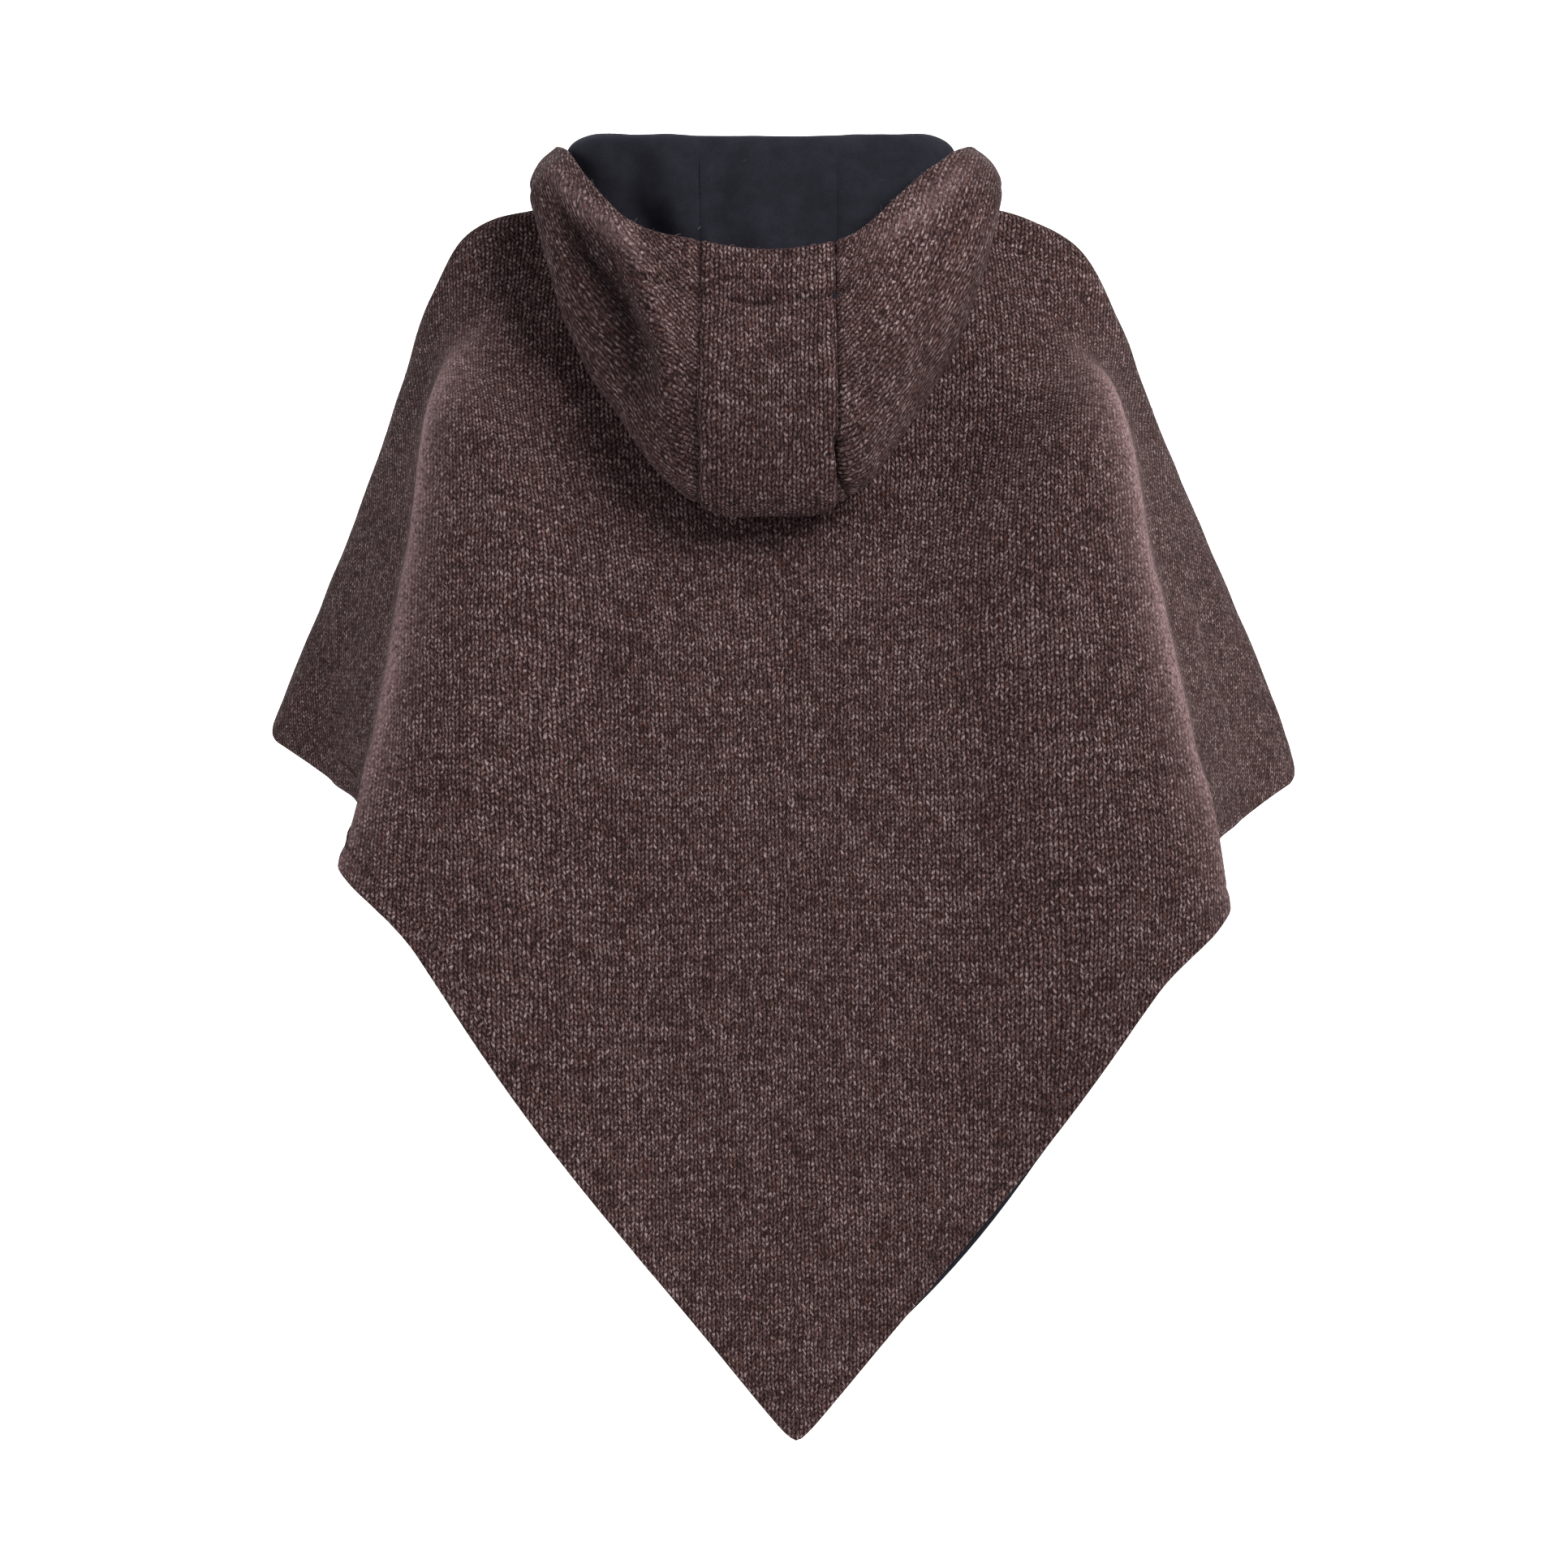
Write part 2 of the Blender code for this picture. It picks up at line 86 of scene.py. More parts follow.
body = {
    "sway": 0.013,            # the hem's point hangs this far to the right
    "fullness": 0.36,         # how roundly a ring runs between its middle and its ridge
    "shoulderStation": 0.80, "shoulderTuck": 0.58,           # the ring is tucked in inside the ridge,
    "notchShare": 0.20, "notchRise": 0.85,                   # the hem notched beside it
    "valleyShare": 0.48, "valleyTuck": 0.80,                 # and hollow beyond the notch
    "frontTaper": 0.965,
    "tipRounding": 0.014,
    "cornerRounding": 0.060,
    "hemWave": {-1: 0.009, 1: 0.006},
}
# sections of the lowered hood round the neck, from center back (0) to the throat (1)
hoodColumns = (
    "rollX", "rollY", "rollZ", "bottomX", "bottomY", "bottomZ",
    "bellyX", "bellyY", "bellyZ", "lipX", "lipY", "lipZ", "rollSway", "bagSway", "lipSway",
)
hoodRows = (
    (0.00, 0.000, -0.088, 0.047, 0.000, -0.153, -0.211, 0.000, -0.202, -0.125, 0.000, -0.180, -0.038,
     -0.0044, -0.006, -0.0064),
    (0.18, 0.045, -0.083, 0.048, 0.047, -0.152, -0.204, 0.047, -0.199, -0.120, 0.045, -0.177, -0.032,
     -0.0044, -0.006, -0.0064),
    (0.34, 0.090, -0.066, 0.051, 0.090, -0.137, -0.158, 0.095, -0.172, -0.085, 0.082, -0.152, -0.016,
     -0.0080, -0.007, -0.0172),
    (0.46, 0.118, -0.046, 0.052, 0.132, -0.096, -0.084, 0.143, -0.124, -0.034, 0.112, -0.107, 0.015,
     -0.0110, -0.008, -0.0165),
    (0.56, 0.130, -0.020, 0.046, 0.148, -0.042, -0.009, 0.160, -0.070, 0.010, 0.137, -0.055, 0.041,
     -0.0115, -0.008, -0.0095),
    (0.65, 0.117, 0.018, 0.046, 0.143, 0.001, 0.019, 0.155, -0.007, 0.029, 0.146, -0.004, 0.044,
     -0.0085, -0.007, -0.0075),
    (0.74, 0.091, 0.060, 0.036, 0.116, 0.061, 0.024, 0.130, 0.059, 0.027, 0.142, 0.055, 0.032,
     -0.0060, -0.005, -0.0050),
    (0.84, 0.054, 0.083, 0.018, 0.072, 0.094, 0.014, 0.082, 0.099, 0.011, 0.092, 0.103, 0.008,
     -0.0030, -0.003, -0.0030),
    (0.93, 0.025, 0.090, -0.004, 0.036, 0.102, -0.010, 0.042, 0.108, -0.014, 0.048, 0.113, -0.019,
     0.0, 0.0, 0.0),
    (1.00, 0.006, 0.090, -0.016, 0.011, 0.102, -0.023, 0.014, 0.107, -0.028, 0.017, 0.111, -0.033,
     0.0, 0.0, 0.0),
)
hood = {
    "neckGap": 0.0005,
    "innerFall": 0.42,
    "innerPush": 0.006, "pushEnd": 0.56,
    "stand": 0.012, "standLoss": 0.6,
    "knotPower": 0.9,
    "seam": 0.18,             # where the strip's side seams run, round the neck
    "throat": 0.98,
}


# the form, shared by knit and lining
def mix(a, b, share):
    return a + (b - a) * share


def ease(low, high, value):
    t = np.clip((value - low) / (high - low), 0.0, 1.0)
    return t * t * (3.0 - 2.0 * t)


def hump(distance, width):
    return np.exp(-(distance / width) ** 2)


def knotSlopes(knots, values):
    gaps = np.diff(knots, axis=-1)[..., None]
    rises = np.diff(values, axis=-2) / gaps
    slopes = np.empty_like(values)
    slopes[..., 0, :] = rises[..., 0, :]
    slopes[..., -1, :] = rises[..., -1, :]
    share = gaps[..., :-1, :] / (gaps[..., :-1, :] + gaps[..., 1:, :])
    slopes[..., 1:-1, :] = mix(rises[..., :-1, :], rises[..., 1:, :], share)
    return slopes


def smoothValue(knots, values, slopes, at):
    # one cubic piece between two knots, straight on past the ends
    pick = np.arange(len(at))
    index = np.clip((at[:, None] >= knots).sum(axis=1) - 1, 0, knots.shape[1] - 2)
    first, second = knots[pick, index], knots[pick, index + 1]
    span = (second - first)[:, None]
    t = (at - first)[:, None] / span
    inside = np.clip(t, 0.0, 1.0)
    a, b = values[pick, index], values[pick, index + 1]
    slopeA, slopeB = slopes[pick, index], slopes[pick, index + 1]
    rise = inside * inside * (3.0 - 2.0 * inside)
    leave = inside * (1.0 - inside) ** 2
    arrive = inside * inside * (inside - 1.0)
    value = mix(a, b, rise) + (slopeA * leave + slopeB * arrive) * span
    return value + np.where(t > 1.0, slopeB, slopeA) * (t - inside) * span


def readTable(columns, rows, place, levelStart=()):
    grid = np.array(rows)
    knots, values = grid[:, 0], grid[:, 1:]
    slopes = knotSlopes(knots, values)
    for column in levelStart:
        slopes[0, columns.index(column)] = 0.0
    many = len(place)
    found = smoothValue(
        np.broadcast_to(knots, (many, len(knots))),
        np.broadcast_to(values, (many,) + values.shape),
        np.broadcast_to(slopes, (many,) + slopes.shape), place)
    return {column: found[:, i] for i, column in enumerate(columns)}


def stack(x, y, z):
    return np.stack(np.broadcast_arrays(x, y, z), axis=-1)


def ringGuides(down, side, face):
    ring = readTable(ringColumns, ringRows, down)
    left = readTable(sideColumns, leftRows, down)
    right = readTable(sideColumns, rightRows, down)
    edge = {key: np.where(side < 0, left[key], right[key]) for key in left}
    back = face < 0
    taper = 1.0 if back else mix(1.0, body["frontTaper"], np.minimum(down / 0.5, 1.0))
    middle = stack(side * body["sway"] * down,
                   face * (ring["backDepth"] if back else ring["frontDepth"]),
                   -(ring["backDrop"] if back else ring["frontDrop"]))
    ridge = stack(edge["ridgeReach"] * taper,
                  face * (ring["ridgeDepth"] if back else ring["frontRidgeDepth"]),
                  -edge["ridgeDrop"] * taper)
    seam = stack(edge["seamReach"], ring["seamDepth"], -edge["seamDrop"])
    halfway = 0.5 * (middle + ridge)
    halfway[:, 1] += body["fullness"] * (middle[:, 1] - ridge[:, 1])
    swing = stack(-ring["flute"], 0.0, body["notchRise"] * ring["flute"])
    notch = mix(ridge, seam, body["notchShare"]) + swing
    valley = mix(ridge, seam, body["valleyShare"]) + body["valleyTuck"] * swing
    ridgeAt = ring["ridgeAt"]
    zero = np.zeros_like(ridgeAt)
    stations = np.stack([zero, 0.5 * ridgeAt, ridgeAt, mix(ridgeAt, 1.0, body["notchShare"]),
                         mix(ridgeAt, 1.0, body["valleyShare"]), zero + 1.0], axis=1)
    guides = np.stack([middle, halfway, ridge, notch, valley, seam], axis=1)
    shoulderAt = body["shoulderStation"] * ridgeAt
    shoulder = smoothValue(stations, guides, knotSlopes(stations, guides), shoulderAt)
    shoulder += body["shoulderTuck"] * swing
    return np.insert(stations, 2, shoulderAt, axis=1), np.insert(guides, 2, shoulder, axis=1)


def bodyPoint(across, down, face):
    shape = across.shape
    across, down = across.ravel(), down.ravel()
    side = np.where(across >= 0.0, 1.0, -1.0)
    distance = np.sqrt(across ** 2 + body["tipRounding"] ** 2)
    stations, guides = ringGuides(down, side, face)
    mirroredStations, mirrored = ringGuides(down, side, -face)
    beyond = (guides[:, 6] - mirrored[:, 5]) / (stations[:, 6] - mirroredStations[:, 5])[:, None]
    inside = (guides[:, 6] - guides[:, 5]) / (stations[:, 6] - stations[:, 5])[:, None]
    slopes = knotSlopes(stations, guides)
    slopes[:, 0, 1] = 0.0
    slopes[:, 6] = 0.5 * (inside - beyond)
    point = smoothValue(stations, guides, slopes, distance)
    point[:, 0] = side * (point[:, 0] - guides[:, 0, 0]) * np.abs(across) / distance + body["sway"] * down
    share = np.minimum(distance / stations[:, 3], 1.0)
    wave = np.where(side < 0, body["hemWave"][-1], body["hemWave"][1])
    point[:, 2] -= wave * np.sin(2.0 * math.pi * share ** 2) * down ** 8
    return point.reshape(shape + (3,))


def ridgeAcross(down):
    return readTable(ringColumns, ringRows, down.ravel())["ridgeAt"].reshape(down.shape)


def hemLimit(across):
    rounding = body["cornerRounding"]
    past = np.clip((np.abs(across) - (1.0 - rounding)) / rounding, 0.0, 1.0)
    return 1.0 - rounding * (1.0 - np.sqrt(1.0 - past ** 2))


def lineLength(across):
    return mix(0.87, 0.50, np.abs(across))


def neckPoint(around):
    zero = np.zeros_like(around)
    back = bodyPoint(2.0 * around, zero, -1)
    front = bodyPoint(2.0 * (1.0 - around), zero, 1)
    return np.where((around <= 0.5)[..., None], back, front)


def hoodPoint(around, along):
    shape = around.shape
    around, along = around.ravel(), along.ravel()
    side = np.where(around >= 0.0, 1.0, -1.0)
    far = np.abs(around)
    level = tuple(column for column in hoodColumns if column[-1] in "YZ")
    row = readTable(hoodColumns, hoodRows, far, level)
    neck = neckPoint(far)
    neck[:, 2] += hood["neckGap"]
    stand = neck + stack(0.0, 0.0, hood["stand"] * (1.0 - hood["standLoss"] * far))
    named = [stack(row[part + "X"], row[part + "Y"], row[part + "Z"])
             for part in ("roll", "bottom", "belly", "lip")]
    innerWall = mix(named[0], named[1], hood["innerFall"])
    innerWall[:, 1] -= hood["innerPush"] * np.maximum(0.0, 1.0 - far / hood["pushEnd"])
    guides = np.stack([neck, stand, named[0], innerWall] + named[1:], axis=1)
    guides[:, :, 0] = side[:, None] * np.maximum(guides[:, :, 0], 0.0)
    rollSway, bagSway = row["rollSway"], row["bagSway"]
    wallSway = mix(rollSway, bagSway, hood["innerFall"])
    for index, sway in ((2, rollSway), (3, wallSway), (4, bagSway), (5, bagSway), (6, row["lipSway"])):
        guides[:, index, 0] += sway
    steps = np.linalg.norm(np.diff(guides, axis=1), axis=2) ** hood["knotPower"]
    knots = np.concatenate([np.zeros((len(far), 1)), np.cumsum(steps, axis=1)], axis=1)
    knots /= knots[:, -1:]
    point = smoothValue(knots, guides, knotSlopes(knots, guides), along)
    return point.reshape(shape + (3,))


# flat cut of each piece, in metres
overarmCut = (  # down, out, up
    (0.00, 0.085, 0.000), (0.25, 0.208, -0.018), (0.35, 0.243, -0.053), (0.50, 0.295, -0.110),
    (0.65, 0.349, -0.163), (0.80, 0.403, -0.216), (0.90, 0.437, -0.254), (1.00, 0.470, -0.292),
)
bodyCut = {"neckDrop": 0.033, "middle": 0.867, "width": 0.94, "length": 0.90}
hoodCut = {"neckHalf": 0.24, "height": 0.36, "throat": 0.03, "stripHalf": 0.045, "strip": 0.50,
           "grain": math.radians(-24.0)}


def bodyFlat(across, down):
    seam = readTable(("out", "up"), overarmCut, down.ravel())
    out, up = seam["out"].reshape(down.shape), seam["up"].reshape(down.shape)
    middle = -bodyCut["neckDrop"] - bodyCut["middle"] * down
    return np.stack([out * across, mix(middle, up, np.abs(across))], axis=-1)


def hoodSideFlat(around, along):
    # the crown seam is a quarter oval; the piece narrows from it towards the throat corner
    share = (np.abs(around) - hood["seam"]) / (1.0 - hood["seam"])
    turn = 0.5 * math.pi * along
    crown = np.stack([hoodCut["neckHalf"] * np.cos(turn), hoodCut["height"] * np.sin(turn)], axis=-1)
    corner = hoodCut["throat"] * np.stack([1.0 - along, along], axis=-1)
    flat = mix(crown, corner, share[..., None])
    lean = hoodCut["grain"]
    flat = np.stack([flat[..., 0] * math.cos(lean) + flat[..., 1] * math.sin(lean),
                     flat[..., 1] * math.cos(lean) - flat[..., 0] * math.sin(lean)], axis=-1)
    flat[..., 0] *= np.where(around < 0.0, -1.0, 1.0)
    return flat


def hoodStripFlat(around, along):
    return np.stack([hoodCut["stripHalf"] * around / hood["seam"], hoodCut["strip"] * along], axis=-1)


def gridArea(flat):
    a, b = flat[1:, :-1] - flat[:-1, :-1], flat[:-1, 1:] - flat[:-1, :-1]
    return float(np.abs(a[..., 0] * b[..., 1] - a[..., 1] * b[..., 0]).sum())


# grids of points
def gridNormals(points, outward):
    across = np.gradient(points, axis=1)
    down = np.gradient(points, axis=0)
    normal = np.cross(across, down) * outward
    return normal / np.maximum(np.linalg.norm(normal, axis=-1, keepdims=True), 1e-9)


def ripple(points, size, seed):
    # slow unevenness of the hand of the cloth, -1 to 1
    offset = Vector((seed * 3.1, seed * 7.7, seed * 1.3))
    flat = (points / size).reshape(-1, 3)
    values = [noise.noise(Vector(p) + offset) for p in flat.tolist()]
    return np.array(values).reshape(points.shape[:-1])


def sheetObject(name, points, flat, outward, material, paintedLight=None):
    rows, columns = points.shape[:2]
    index = np.arange(rows * columns).reshape(rows, columns)
    quads = np.stack([index[:-1, :-1], index[1:, :-1], index[1:, 1:], index[:-1, 1:]], axis=-1).reshape(-1, 4)
    if outward > 0:
        quads = quads[:, ::-1]
    mesh = bpy.data.meshes.new(name)
    mesh.vertices.add(rows * columns)
    mesh.vertices.foreach_set("co", points.reshape(-1))
    mesh.loops.add(quads.size)
    mesh.loops.foreach_set("vertex_index", quads.reshape(-1))
    mesh.polygons.add(len(quads))
    mesh.polygons.foreach_set("loop_start", np.arange(len(quads)) * 4)
    mesh.update(calc_edges=True)
    mesh.validate()
    layer = mesh.uv_layers.new(name="flat")
    layer.data.foreach_set("uv", flat.reshape(-1, 2)[quads.reshape(-1)].reshape(-1))
    if paintedLight is not None:
        # painted light: painted highlight on the crests of the folds (above 0), painted shade in troughs,
        # creases and seams (below 0)
        held = mesh.attributes.new("paintedLight", "FLOAT", "POINT")
        held.data.foreach_set("value", paintedLight.astype(np.float32).reshape(-1))
    mesh.shade_smooth()
    mesh.materials.append(material)
    made = bpy.data.objects.new(name, mesh)
    bpy.context.collection.objects.link(made)
    return made


# shader maths: one socket, with the usual operators
class Socket:
    def __init__(self, tree, socket):
        self.tree, self.socket = tree, socket

    def math(self, operation, *others, clamp=False):
        return self.tree.node("ShaderNodeMath", {"operation": operation, "use_clamp": clamp},
                              dict(enumerate((self,) + others)))

    def __add__(self, other): return self.math("ADD", other)
    def __radd__(self, other): return self.math("ADD", other)
    def __sub__(self, other): return self.math("SUBTRACT", other)
    def __rsub__(self, other): return self.tree.number("SUBTRACT", other, self)
    def __mul__(self, other): return self.math("MULTIPLY", other)
    def __rmul__(self, other): return self.math("MULTIPLY", other)
    def __truediv__(self, other): return self.math("DIVIDE", other)
    def __pow__(self, other): return self.math("POWER", other)
    def __abs__(self): return self.math("ABSOLUTE")
    def floor(self): return self.math("FLOOR")
    def fract(self): return self.math("FRACT")
    def above(self, other): return self.math("GREATER_THAN", other)
    def clamp(self): return self.math("ADD", 0.0, clamp=True)
    def high(self, other): return self.math("MAXIMUM", other)

    def between(self, start, end):
        # 0 at start, 1 at end, eased
        return self.tree.node("ShaderNodeMapRange", {"interpolation_type": "SMOOTHSTEP"},
                              {"Value": self, "From Min": start, "From Max": end})


class Finish:
    # a material and the nodes that are added to it
    def __init__(self, name, roughness, **fixed):
        self.material = bpy.data.materials.new(name)
        self.material.use_nodes = True
        self.nodes = self.material.node_tree.nodes
        self.links = self.material.node_tree.links
        self.shader = self.nodes["Principled BSDF"]
        self.shader.inputs["Roughness"].default_value = roughness
        for key, value in fixed.items():
            self.shader.inputs[key.replace("_", " ")].default_value = value

    def plug(self, target, value):
        if isinstance(value, Socket):
            self.links.new(value.socket, target)
        else:
            target.default_value = value

    def node(self, kind, settings, inputs, output=0):
        made = self.nodes.new(kind)
        for key, value in settings.items():
            setattr(made, key, value)
        for key, value in inputs.items():
            self.plug(made.inputs[key], value)
        return Socket(self, made.outputs[output])

    def number(self, operation, *values):
        return self.node("ShaderNodeMath", {"operation": operation}, dict(enumerate(values)))

    def color(self, share, a, b):
        made = self.nodes.new("ShaderNodeMix")
        made.data_type = "RGBA"
        self.plug(made.inputs[0], share)
        self.plug(made.inputs[6], a)
        self.plug(made.inputs[7], b)
        return Socket(self, made.outputs[2])

    def vector(self, x, y, z=0.0):
        return self.node("ShaderNodeCombineXYZ", {}, {0: x, 1: y, 2: z})

    def noise(self, place, scale, detail=2.0, roughness=0.5):
        return self.node("ShaderNodeTexNoise", {}, {
            "Vector": place, "Scale": scale, "Detail": detail, "Roughness": roughness})

    def random(self, place):
        return self.node("ShaderNodeTexWhiteNoise", {"noise_dimensions": "3D"}, {"Vector": place})

    def drive(self, name, value):
        self.plug(self.shader.inputs[name], value)


wool = {
    "wale": 0.00545, "course": 0.0036,     # one column and one row of stitches
    "slant": 0.85,                         # how steeply the two legs of a stitch stand
    "shadow": (0.0060, 0.0030, 0.0030, 1.0),
    "dark": (0.028, 0.0135, 0.0132, 1.0),
    "body": (0.088, 0.0480, 0.0475, 1.0),
    "pale": (0.350, 0.262, 0.264, 1.0),
    "rust": (0.120, 0.046, 0.030, 1.0),
    "paintedLight": (0.400, 0.262, 0.266, 1.0),   # painted highlight on the crests of the folds
    "loft": 0.0013,                        # height of a stitch
    # how much each thing lightens or darkens the yarn
    "steady": 0.30, "perStitch": 0.60, "hair": 2.8, "row": 0.46, "patch": 0.26, "speck": 1.25, "mottle": 0.85,
}


def woolFinish(name, rib, wander):
    # stockinette: columns of V-shaped stitches in a heather yarn, laid out in the flat cut
    finish = Finish(name, 0.92, Sheen_Weight=0.03, Sheen_Roughness=0.40,
                    Sheen_Tint=(0.70, 0.52, 0.51, 1.0), Specular_IOR_Level=0.12)
    flat = finish.node("ShaderNodeUVMap", {"uv_map": "flat"}, {})
    spot = finish.node("ShaderNodeTexCoord", {}, {}, output="Object")
    paintedLight = finish.node("ShaderNodeAttribute", {"attribute_name": "paintedLight"}, {}, output="Fac")
    split = finish.nodes.new("ShaderNodeSeparateXYZ")
    finish.plug(split.inputs[0], flat)
    u, v = Socket(finish, split.outputs[0]), Socket(finish, split.outputs[1])

    slow = finish.noise(flat, 45.0, 2.0)
    quick = finish.noise(flat, 300.0, 2.0)
    quickV = finish.noise(finish.vector(v, u), 320.0, 2.0)
    bentU = u + (slow - 0.5) * 0.0040 + (quick - 0.5) * wander
    bentV = v + (quickV - 0.5) * 0.0034

    column = bentU / wool["wale"]
    inColumn = column.fract()
    outward = abs(inColumn - 0.5) * 2.0            # 0 in the middle of a column, 1 at its edges
    row = bentV / wool["course"] - outward * wool["slant"]
    inRow = row.fract()
    legWidth = abs(outward - 0.5) * 2.0
    legLength = abs(inRow - 0.5) * 2.0
    leg = (1.0 - legWidth ** 2.0) * (1.0 - 0.85 * legLength ** 2.2)
    side = inColumn.above(0.5)

    # every leg of a stitch has its own mixture of pale and dark hair
    stitch = finish.random(finish.vector(column.floor() * 2.0 + side, row.floor(), 3.0))
    hue = finish.random(finish.vector(column.floor() * 2.0 + side, row.floor(), 11.0))
    rowTone = finish.noise(finish.vector(u * 14.0, v * 250.0), 1.0, 3.0, 0.6)
    patch = finish.noise(flat, 24.0, 3.0, 0.6)
    hair = finish.noise(finish.vector(u * 1250.0, v * 420.0), 1.0, 3.0, 0.75)
    grain = finish.noise(spot, 1300.0, 3.0, 0.7)
    speck = finish.noise(spot, 420.0, 2.0, 0.6)

    tone = leg * (wool["steady"] + wool["perStitch"] * stitch) * (0.25 + 1.20 * grain)
    tone = tone + leg * (hair - 0.5) * wool["hair"]
    tone = tone + (rowTone - 0.5) * wool["row"] + (patch - 0.5) * wool["patch"]
    mottle = finish.noise(spot, 170.0, 3.0, 0.65)
    tone = tone + (speck - 0.5) * wool["speck"] + (mottle - 0.5) * wool["mottle"]
    tint = finish.color(tone.between(0.02, 0.30), wool["dark"], wool["body"])
    tint = finish.color(tone.between(0.36, 1.00), tint, wool["pale"])
    tint = finish.color(hue.between(0.86, 1.0) * leg * 0.50, tint, wool["rust"])
    gap = (0.40 - leg).between(0.0, 0.34)
    valley = outward.between(0.72, 1.0) * 0.55     # the dark line between two columns
    tint = finish.color(gap.high(valley) * rib, tint, wool["shadow"])
    # painted highlight on the fold crests, broken up by hair, then painted shade in troughs, creases and
    # seams, both from the painted light attribute
    tint = finish.color((paintedLight * (hair * 2.6 + speck * 2.4 - 1.75)).clamp(), tint, wool["paintedLight"])
    tint = finish.color((paintedLight * -1.0).clamp(), tint, wool["shadow"])
    finish.drive("Base Color", tint)

    height = leg * 0.80 + grain * 0.35 + hair * 0.30
    bump = finish.node("ShaderNodeBump", {}, {
        "Strength": 0.9, "Distance": wool["loft"], "Height": height})
    finish.drive("Normal", bump)
    return finish.material


def fleeceFinish(name):
    finish = Finish(name, 0.95, Sheen_Weight=0.12, Sheen_Roughness=0.5,
                    Sheen_Tint=(0.38, 0.40, 0.52, 1.0), Specular_IOR_Level=0.10)
    spot = finish.node("ShaderNodeTexCoord", {}, {}, output="Object")
    nap = finish.noise(spot, 1500.0, 3.0, 0.7)
    cloud = finish.noise(spot, 70.0, 3.0, 0.6)
    tint = finish.color((nap * 0.7 + cloud * 0.5).between(0.35, 0.85),
                        (0.0085, 0.0088, 0.0125, 1.0), (0.0190, 0.0192, 0.0275, 1.0))
    finish.drive("Base Color", tint)
    bump = finish.node("ShaderNodeBump", {}, {
        "Strength": 0.5, "Distance": 0.0006, "Height": nap + cloud * 0.6})
    finish.drive("Normal", bump)
    return finish.material


def fibreFinish(name, low, high):
    finish = Finish(name, 0.9, Specular_IOR_Level=0.1)
    spot = finish.node("ShaderNodeTexCoord", {}, {}, output="Object")
    finish.drive("Base Color", finish.color(finish.noise(spot, 90.0).between(0.35, 0.65), low, high))
    return finish.material


woolKnit = woolFinish("woolKnit", 0.90, 0.0024)
woolKnitLeaning = woolFinish("woolKnitLeaning", 0.70, 0.0032)
navyFleece = fleeceFinish("navyFleece")
woolFibre = fibreFinish("woolFibre", (0.060, 0.034, 0.032, 1.0), (0.29, 0.205, 0.20, 1.0))
paleLint = fibreFinish("paleLint", (0.16, 0.14, 0.14, 1.0), (0.34, 0.31, 0.30, 1.0))
print("finishes made")


# body panels
panel = {
    "backColumns": 290, "backRows": 250, "frontColumns": 190, "frontRows": 170,
    "hemRound": 0.0017, "hemTurn": 0.016, "hemBand": 0.0118,
    "hemPuff": 0.0008, "hemGroove": 0.0003, "hemGrooveWidth": 0.0030,
    "seamGroove": 0.0011, "seamWidth": 0.0022, "seamTurn": 0.003,
    "ridgeRise": 0.0026, "ridgeWidth": 0.0075,
    "troughDepth": 0.0020, "troughOut": 0.022, "troughWidth": 0.014,
    "unevenness": 0.0022,
    "liningDepth": 0.0040,
}
# folds beside the ridges and over the shoulders, laid on the plane behind the garment:
# first end, last end (x, z), width, height
backFolds = (
    ("left second ridge", (-0.285, -0.345), (-0.268, -0.440), 0.010, 0.0022),
    ("left bulge hollow", (-0.262, -0.330), (-0.240, -0.450), 0.016, -0.0016),
    ("left shoulder hollow", (-0.150, 0.000), (-0.205, -0.110), 0.022, -0.0020),
    ("left shoulder roll", (-0.190, -0.020), (-0.232, -0.085), 0.016, 0.0022),
    ("right shoulder hollow", (0.150, -0.002), (0.200, -0.115), 0.022, -0.0018),
    ("right shoulder roll", (0.190, -0.030), (0.228, -0.105), 0.016, 0.0020),
    ("left long swell", (-0.120, -0.260), (-0.170, -0.520), 0.040, 0.0022),
    ("right long swell", (0.150, -0.260), (0.190, -0.520), 0.040, 0.0022),
    ("right second ridge", (0.300, -0.390), (0.284, -0.480), 0.011, 0.0022),
    ("middle hollow", (0.000, -0.300), (0.008, -0.720), 0.035, -0.0018),
    ("low left drape", (-0.060, -0.560), (-0.100, -0.690), 0.026, 0.0018),
    ("low right drape", (0.075, -0.560), (0.100, -0.700), 0.026, 0.0018),
)


def foldRelief(points, folds, plane=(0, 2)):
    # soft ridges and hollows along straight lines that fade out at their ends
    relief = np.zeros(points.shape[:-1])
    place = points[..., list(plane)]
    for name, start, end, width, height in folds:
        first, last = np.array(start), np.array(end)
        length = np.linalg.norm(last - first)
        way = (last - first) / length
        along = (place - first) @ way
        aside = (place - first) @ np.array([-way[1], way[0]])
        bend = 0.25 * width * np.sin(along / length * 5.0 + length * 40.0)
        fade = ease(-0.35 * length, 0.25 * length, along) * (1.0 - ease(0.75 * length, 1.35 * length, along))
        relief += height * hump(aside - bend, width) * fade
    return relief


def edgeSteps(count):
    plain = np.linspace(-1.0, 1.0, count + 1)
    return mix(plain, np.sin(0.5 * math.pi * plain), 0.35)


def hemRelief(distance):
    puff = panel["hemPuff"] * np.sin(math.pi * np.clip(distance / panel["hemBand"], 0.0, 1.0)) ** 0.8
    groove = panel["hemGroove"] * hump(distance - panel["hemBand"], panel["hemGrooveWidth"])
    return puff - groove


